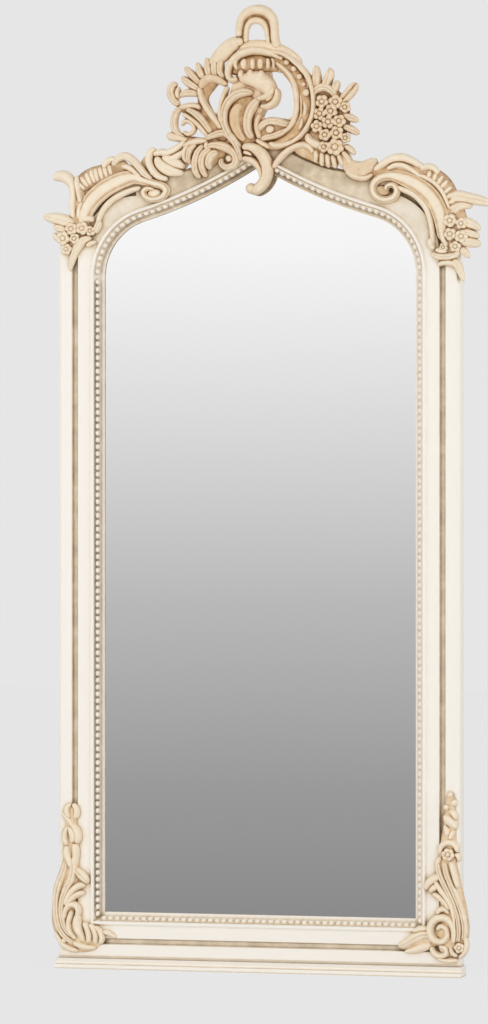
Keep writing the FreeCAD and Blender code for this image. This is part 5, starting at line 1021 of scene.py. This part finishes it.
# right spray: low grounds, leaves, flowers
carve("spray_right", "shoulder_spray_right", "shoulder_right", frontSeat, limbs(ground, [
    [(447, 194, 4, 2.2), (449, 206, 7, 2.6), (450, 220, 10, 2.8), (451, 236, 12.5, 2.8),
     (449, 249, 10, 2.8), (444, 259, 7, 2.4)],
], 17) + limbs(ground, [
    [(455, 222, 5, 2.4), (460, 231, 6, 2.6), (462, 241, 6, 2.6), (459, 250, 5, 2.4)],
]) + limbs({"channel": 0.30, "channelWidth": 0.25}, [
    [(445.6, 203, 3.4, 5.4), (453, 200.6, 5.4, 7), (462, 202.4, 5.2, 7.4), (471, 204.2, 4.7, 7.2),
     (479, 206.2, 4, 6.6), (485.4, 208.6, 2.6, 5)],
]) + limbs(veined, [
    [(448.6, 218, 2.8, 5.6), (453, 211.4, 3.9, 7.4), (460, 209.6, 3.4, 7), (467.6, 210.8, 2.2, 5.4)],
    [(453, 226, 3.4, 5.6), (461.6, 226.4, 4.4, 6.8), (470, 230, 3.8, 6.4), (475, 234.4, 2, 4.4)],
    [(452, 238, 3.6, 5.6), (461.6, 236.8, 4, 6.8), (469.6, 239, 3.4, 6.4), (474.6, 241.2, 1.9, 4.4)],
    [(454, 244.6, 3.6, 5.6), (462.6, 245.4, 4.6, 7), (470.4, 247, 4, 6.6), (476, 248.4, 2, 4.4)],
    [(455, 252, 3, 5.4), (460.6, 256, 3.4, 6.2), (464.6, 261.6, 1.8, 4.2)],
    [(427.6, 257, 2.2, 5.2), (434.6, 259.6, 3.2, 7), (443, 260.4, 3.5, 7.2), (450.4, 258.6, 3, 6.8),
     (455.6, 253.6, 2, 5.2)],
    [(448.6, 263, 2.8, 5.6), (453.4, 269, 3.6, 6.6), (456.4, 277, 2.9, 5.6), (458.6, 285, 1.4, 3.2)],
]) + limbs(plain, [
    [(430.4, 253, 2.4, 5.4), (427, 248, 3.1, 6.8), (426.8, 241.2, 2.8, 6.4)],
    [(439, 224, 2.2, 6), (438.6, 233, 2.8, 7.2), (439.6, 242.6, 2.9, 7.2), (443.6, 250, 2.2, 6)],
    [(433.6, 268.4, 1.6, 4.6), (439.6, 266, 2.4, 6), (447.6, 266.6, 2.7, 6.2), (454, 270.6, 2.2, 5.4)],
    [(431.6, 252.4, 2, 5.2), (436.6, 254.4, 2.8, 6.4), (443.6, 254.4, 2.6, 6.2)],
]) + flowers([
    (446.4, 224.6, 7, 8.4, 0.2, 1.8), (457.4, 227.6, 5.8, 7.8, 0.9, 1.8), (446.6, 238, 6.6, 8.2, 0.5, 1.8),
    (457.4, 240.4, 6.8, 8.2, 0.1, 1.8), (451.6, 250.4, 5.8, 7.6, 1, 1.6), (440, 250.8, 4.4, 6.8, 0.4, 1.6)
]))

# bottom corners
# left corner: ground, buds, long stems, a curl, leaves fanned over the foot
carve("corner_left", "corner_leaf_left", "corner_left", frontSeat, limbs({"ground": 0.34}, [
    [(67, 808, 3, 2), (66.6, 822, 5, 2.4), (66, 840, 7, 2.6), (66, 858, 6.5, 2.6), (64.5, 874, 8.5, 2.8),
     (60.5, 892, 10.5, 3), (58, 910, 10, 3), (59, 927, 10.5, 3), (66, 940, 11, 3), (78, 944, 10.5, 2.8),
     (90, 941, 9, 2.6), (99, 938, 4, 2)],
], 19) + limbs(plain, [
    [(66.4, 806.4, 1.8, 4.6), (62.6, 810.2, 2.6, 6), (62.2, 815.8, 2.8, 6.4), (65.4, 821, 2.4, 5.8)],
    [(67.6, 806.4, 1.8, 4.6), (71.2, 810.4, 2.6, 6), (72, 816.4, 2.8, 6.2), (70, 821.6, 2.2, 5.4)],
    [(57.4, 815.4, 1.5, 3.6), (61.6, 820, 2.4, 5.4), (66, 825.6, 2.5, 5.8), (68.6, 831, 2, 5)],
    [(66.6, 826.6, 2.2, 5), (71, 832, 3.6, 7), (73.2, 839.4, 3.6, 7.2), (71.6, 846.6, 2.8, 6.2)],
    [(63.6, 829.6, 2, 5), (67, 834.4, 3.7, 7.8), (68.6, 840.4, 3.6, 7.8), (66.6, 846, 2.4, 6.4)],
    [(63.4, 829.6, 1.9, 4.8), (60.8, 835.6, 2.9, 6.8), (60.2, 842.4, 3.2, 7), (62.8, 848.6, 2.4, 6)],
    [(62.6, 848, 2.6, 5.6), (62.4, 856, 3.9, 7.2), (64.6, 864, 3.7, 7), (67, 871.6, 2.8, 6.2)],
    [(69.6, 845.6, 2.8, 5.6), (71, 853.6, 3.5, 6.6), (70.6, 862, 3.2, 6.4), (70, 870, 2.4, 5.6)],
    [(81, 887.6, 2.4, 5.8), (74.4, 889, 3.4, 7.4), (68.2, 893.6, 3.6, 8), (63.2, 900.8, 3.4, 8),
     (60.6, 909.6, 2.9, 7.6)],
    [(80.4, 895.6, 1.9, 5.2), (74.2, 896.8, 2.9, 7), (68.6, 900.2, 3, 7.4), (64.2, 905.8, 2.8, 7.4),
     (61.2, 913.2, 2.3, 6.8)],
    [(59.6, 923, 2.2, 6.6), (60.6, 914.6, 2.8, 7.6), (65, 908.6, 3.2, 8), (71, 908.8, 3.2, 7.8),
     (73.8, 914.2, 2.9, 7.4), (72, 920.8, 2.4, 6.6)],
    [(67.4, 913.6, 2.2, 5.4), (65.2, 920.6, 2.8, 6.6), (63.8, 928.6, 2.8, 7), (66, 936.4, 2.8, 7),
     (72, 943, 2.4, 6.2)],
    [(74, 917, 2.6, 5.6), (72.4, 924.6, 4.4, 7.6), (73.6, 932.4, 4.6, 7.8), (77.4, 939.6, 3.6, 7.2),
     (80.4, 945.6, 2, 5.2)],
    [(78.6, 925.6, 2.2, 5.4), (82.6, 931.2, 3.3, 7.4), (84.8, 938.6, 3.5, 7.4), (84.2, 947, 2.6, 6.2)],
    [(84.6, 927.6, 2, 5.2), (89.2, 932, 3.2, 7), (91.6, 939.2, 3.3, 7), (90.6, 947.4, 2.4, 5.8)],
    [(90.6, 929.4, 1.8, 4.8), (95.2, 934, 2.8, 6.4), (97.6, 940.6, 2.8, 6.4), (95.6, 947.4, 2, 5.2)],
    [(50.6, 935.6, 1.9, 4.8), (54, 942.4, 2.7, 6), (59.4, 949, 2.8, 6.2), (66.4, 952.8, 2.8, 6.2),
     (74, 954.2, 2.3, 5.4)],
    [(68, 945.6, 2.4, 6), (75.2, 949, 3.1, 6.8), (83.4, 950.8, 2.8, 6.4), (91.6, 950.6, 2.1, 5.2)],
    [(98, 934.6, 1.9, 4.4), (104.4, 936.4, 2.4, 4.8), (112, 940.4, 1.3, 3.2)],
]) + limbs(twinned, [
    [(61.8, 864, 2.4, 5.6), (58.4, 876, 3.3, 7.2), (54, 888, 3.6, 7.8), (51.6, 900, 3.7, 8),
     (51.2, 912, 3.7, 8), (52.4, 924, 3.6, 7.8), (56, 934.4, 3.4, 7.4), (62.2, 942, 3, 6.8),
     (69.6, 947, 2.4, 6)],
    [(67, 860, 2.6, 5.8), (68.6, 870.6, 3.5, 7.4), (67, 881, 3.8, 8), (62.4, 891, 3.8, 8.2),
     (58.4, 901.4, 3.6, 8.4), (56.8, 912.4, 3.4, 8.2), (57.6, 923, 3.2, 8), (61.2, 932.6, 3, 7.6),
     (67.6, 940, 2.7, 7)],
], 19) + limbs(twinned, [
    [(70, 871, 2.6, 5.6), (75, 876.6, 4, 7), (80.4, 881.6, 4, 7), (84, 886.6, 2.4, 5.4)],
]) + bosses([
    (59.4, 944.6, 3, 5.4, 1.4, 14)
]))
# right corner: low grounds, buds, stems, a curl, flowers, leaves on the rail
carve("corner_right", "corner_leaf_right", "corner_right", frontSeat, limbs({"ground": 0.34}, [
    [(446, 790, 3, 2), (446.4, 806, 4.5, 2.2), (446, 822, 5.5, 2.4), (444.6, 838, 6.5, 2.6),
     (443.6, 856, 7.5, 2.6), (444, 874, 10, 2.8), (447.6, 892, 10.5, 3), (450.6, 909, 11, 3),
     (450, 925, 13, 3), (446, 939, 13, 2.8), (437, 947, 8, 2.4)],
], 19) + limbs({"ground": 0.3}, [
    [(434, 934, 8, 2.4), (420, 936, 8, 2.6), (407, 940, 5, 2.2), (397, 943.6, 2, 2)],
]) + bosses([
    (446.6, 791.4, 2.9, 5.2, 1.2, 14), (450.6, 799.4, 3.6, 5.6, 1.2, 14), (442.8, 804, 3, 5.4, 1.2, 14)
]) + limbs(plain, [
    [(446.4, 806.6, 2, 5), (450.4, 811, 3, 6.4), (452.6, 816.6, 2.2, 5.4)],
    [(440.6, 811.6, 2.2, 5.2), (444.4, 816, 4.4, 7.6), (449.6, 820.6, 4.4, 7.6), (453.2, 825, 2.2, 5.6)],
    [(441, 821.4, 2, 5), (443.6, 827, 3, 6.4), (443.4, 833, 2.4, 5.6)],
    [(449.6, 826.6, 1.9, 4.8), (447.4, 831.6, 2.4, 5.6), (446.6, 836.6, 1.8, 4.8)],
    [(437, 850.6, 2.1, 5.4), (438.2, 843, 2.9, 7.2), (444.6, 838.8, 3.2, 7.6), (451.4, 841.6, 2.9, 7.2),
     (453.8, 848.6, 2.1, 5.6)],
    [(451, 849.6, 2.2, 5.4), (454.4, 852.4, 2.4, 5.6), (455.2, 857.6, 1.7, 4.4)],
    [(437.6, 853, 2, 5.2), (434.6, 857.6, 2.4, 5.8), (433.6, 863, 1.8, 4.8)],
    [(446.6, 856.6, 2.2, 5.6), (449, 865, 2.8, 6.8), (451.4, 874.4, 2.8, 7), (454, 884, 2, 5.8)],
    [(431.4, 876.6, 2.2, 5.6), (436.6, 884.4, 3.2, 7.4), (442.2, 891.8, 3.4, 8), (447.4, 900.2, 3.3, 8.2),
     (450, 909.6, 2.6, 7.8), (451, 919.4, 2.3, 7.4), (451, 929.6, 2, 6.6)],
    [(429, 889, 2, 5.2), (435.6, 892.6, 2.9, 7), (441.6, 898, 3, 7.4), (446.2, 905.4, 2.5, 7)],
    [(438, 872.6, 2.4, 5.6), (431.6, 874.6, 3.8, 7), (425.4, 879.6, 3.8, 7), (422.4, 886, 2.3, 5.2)],
    [(437, 881, 2.6, 5.6), (431, 883.6, 3.5, 6.8), (426, 888.4, 2.4, 5.4)],
    [(446.4, 909.6, 2, 5.6), (441.4, 904.8, 2.7, 6.8), (435.8, 906.2, 2.6, 6.4), (434, 910.6, 1.9, 5.2)],
    [(449.8, 939, 2.6, 6.4), (450.6, 929, 3.3, 7.6), (448.6, 919.4, 3.7, 8), (442, 913.6, 3.8, 8.2),
     (434, 914.2, 3.7, 8.2), (428.2, 919.8, 3.5, 8), (426.8, 928, 3.5, 7.8), (430.6, 935.2, 3.3, 7.6),
     (438, 937, 3.1, 7.6), (443.6, 932.2, 2.9, 7.6), (443.2, 925, 2.7, 7.4), (437.8, 921.6, 2.5, 7.2),
     (433.6, 925.6, 2.1, 6.6)],
    [(427.6, 941.6, 2, 5.6), (430.6, 948, 2.7, 6.8), (436.8, 951.4, 2.8, 6.8), (443, 948.8, 2.6, 6.6),
     (441.8, 943.6, 2.3, 6.4), (435.6, 941, 2, 6)],
    [(434, 953.8, 1.8, 4.6), (444, 955.8, 2.5, 5.8), (453.6, 954.8, 2, 4.8)],
    [(461, 931.6, 2.2, 5.6), (462.4, 939.6, 2.5, 6.4), (460, 947.4, 2.4, 6.2), (455, 953, 1.9, 5)],
    [(446.6, 941.6, 2.1, 5.6), (449, 947.6, 2.7, 6.6), (454, 951, 2.2, 5.6)],
    [(428.6, 940, 3, 5.8), (420, 942.6, 4.1, 6.6), (411, 945.8, 3.3, 5.6), (401.6, 947.8, 1.5, 3.2)],
    [(426, 924.6, 2, 5), (417.6, 924.8, 2.9, 6.2), (409.4, 927.8, 1.8, 4.4)],
]) + flowers([
    (444.8, 850.6, 6.6, 7.8, 0.2, 1.4, 6), (456, 942.6, 5.4, 7.4, 0.7, 1.8)
]) + limbs(twinned, [
    [(441, 857.6, 2.4, 5.8), (442.6, 868, 3.2, 7.2), (446.4, 878.6, 3.3, 7.6), (451, 889, 3.2, 7.8),
     (455.4, 900, 3, 7.8), (458.8, 912, 2.9, 7.6), (460.6, 924, 2.8, 7.2), (459.4, 935.6, 2.4, 6.6)],
    [(433.8, 859, 2, 5.2), (435.6, 867.4, 2.8, 7.2), (439, 876.4, 3.1, 7.8), (443.6, 885.6, 3.1, 8.2),
     (448.4, 895.6, 3, 8.4), (452.2, 906, 2.9, 8.2), (454.8, 917, 2.8, 8), (455.4, 928, 2.6, 7.6),
     (454, 937.6, 2.2, 6.6)],
], 19) + limbs({"rib": 0.25}, [
    [(428.6, 930.4, 3, 5.8), (420, 930.6, 4.4, 7), (411.6, 934.2, 4.6, 6.8), (403.6, 939.4, 3.6, 5.8),
     (395, 943, 1.6, 3.4)],
]))

# end
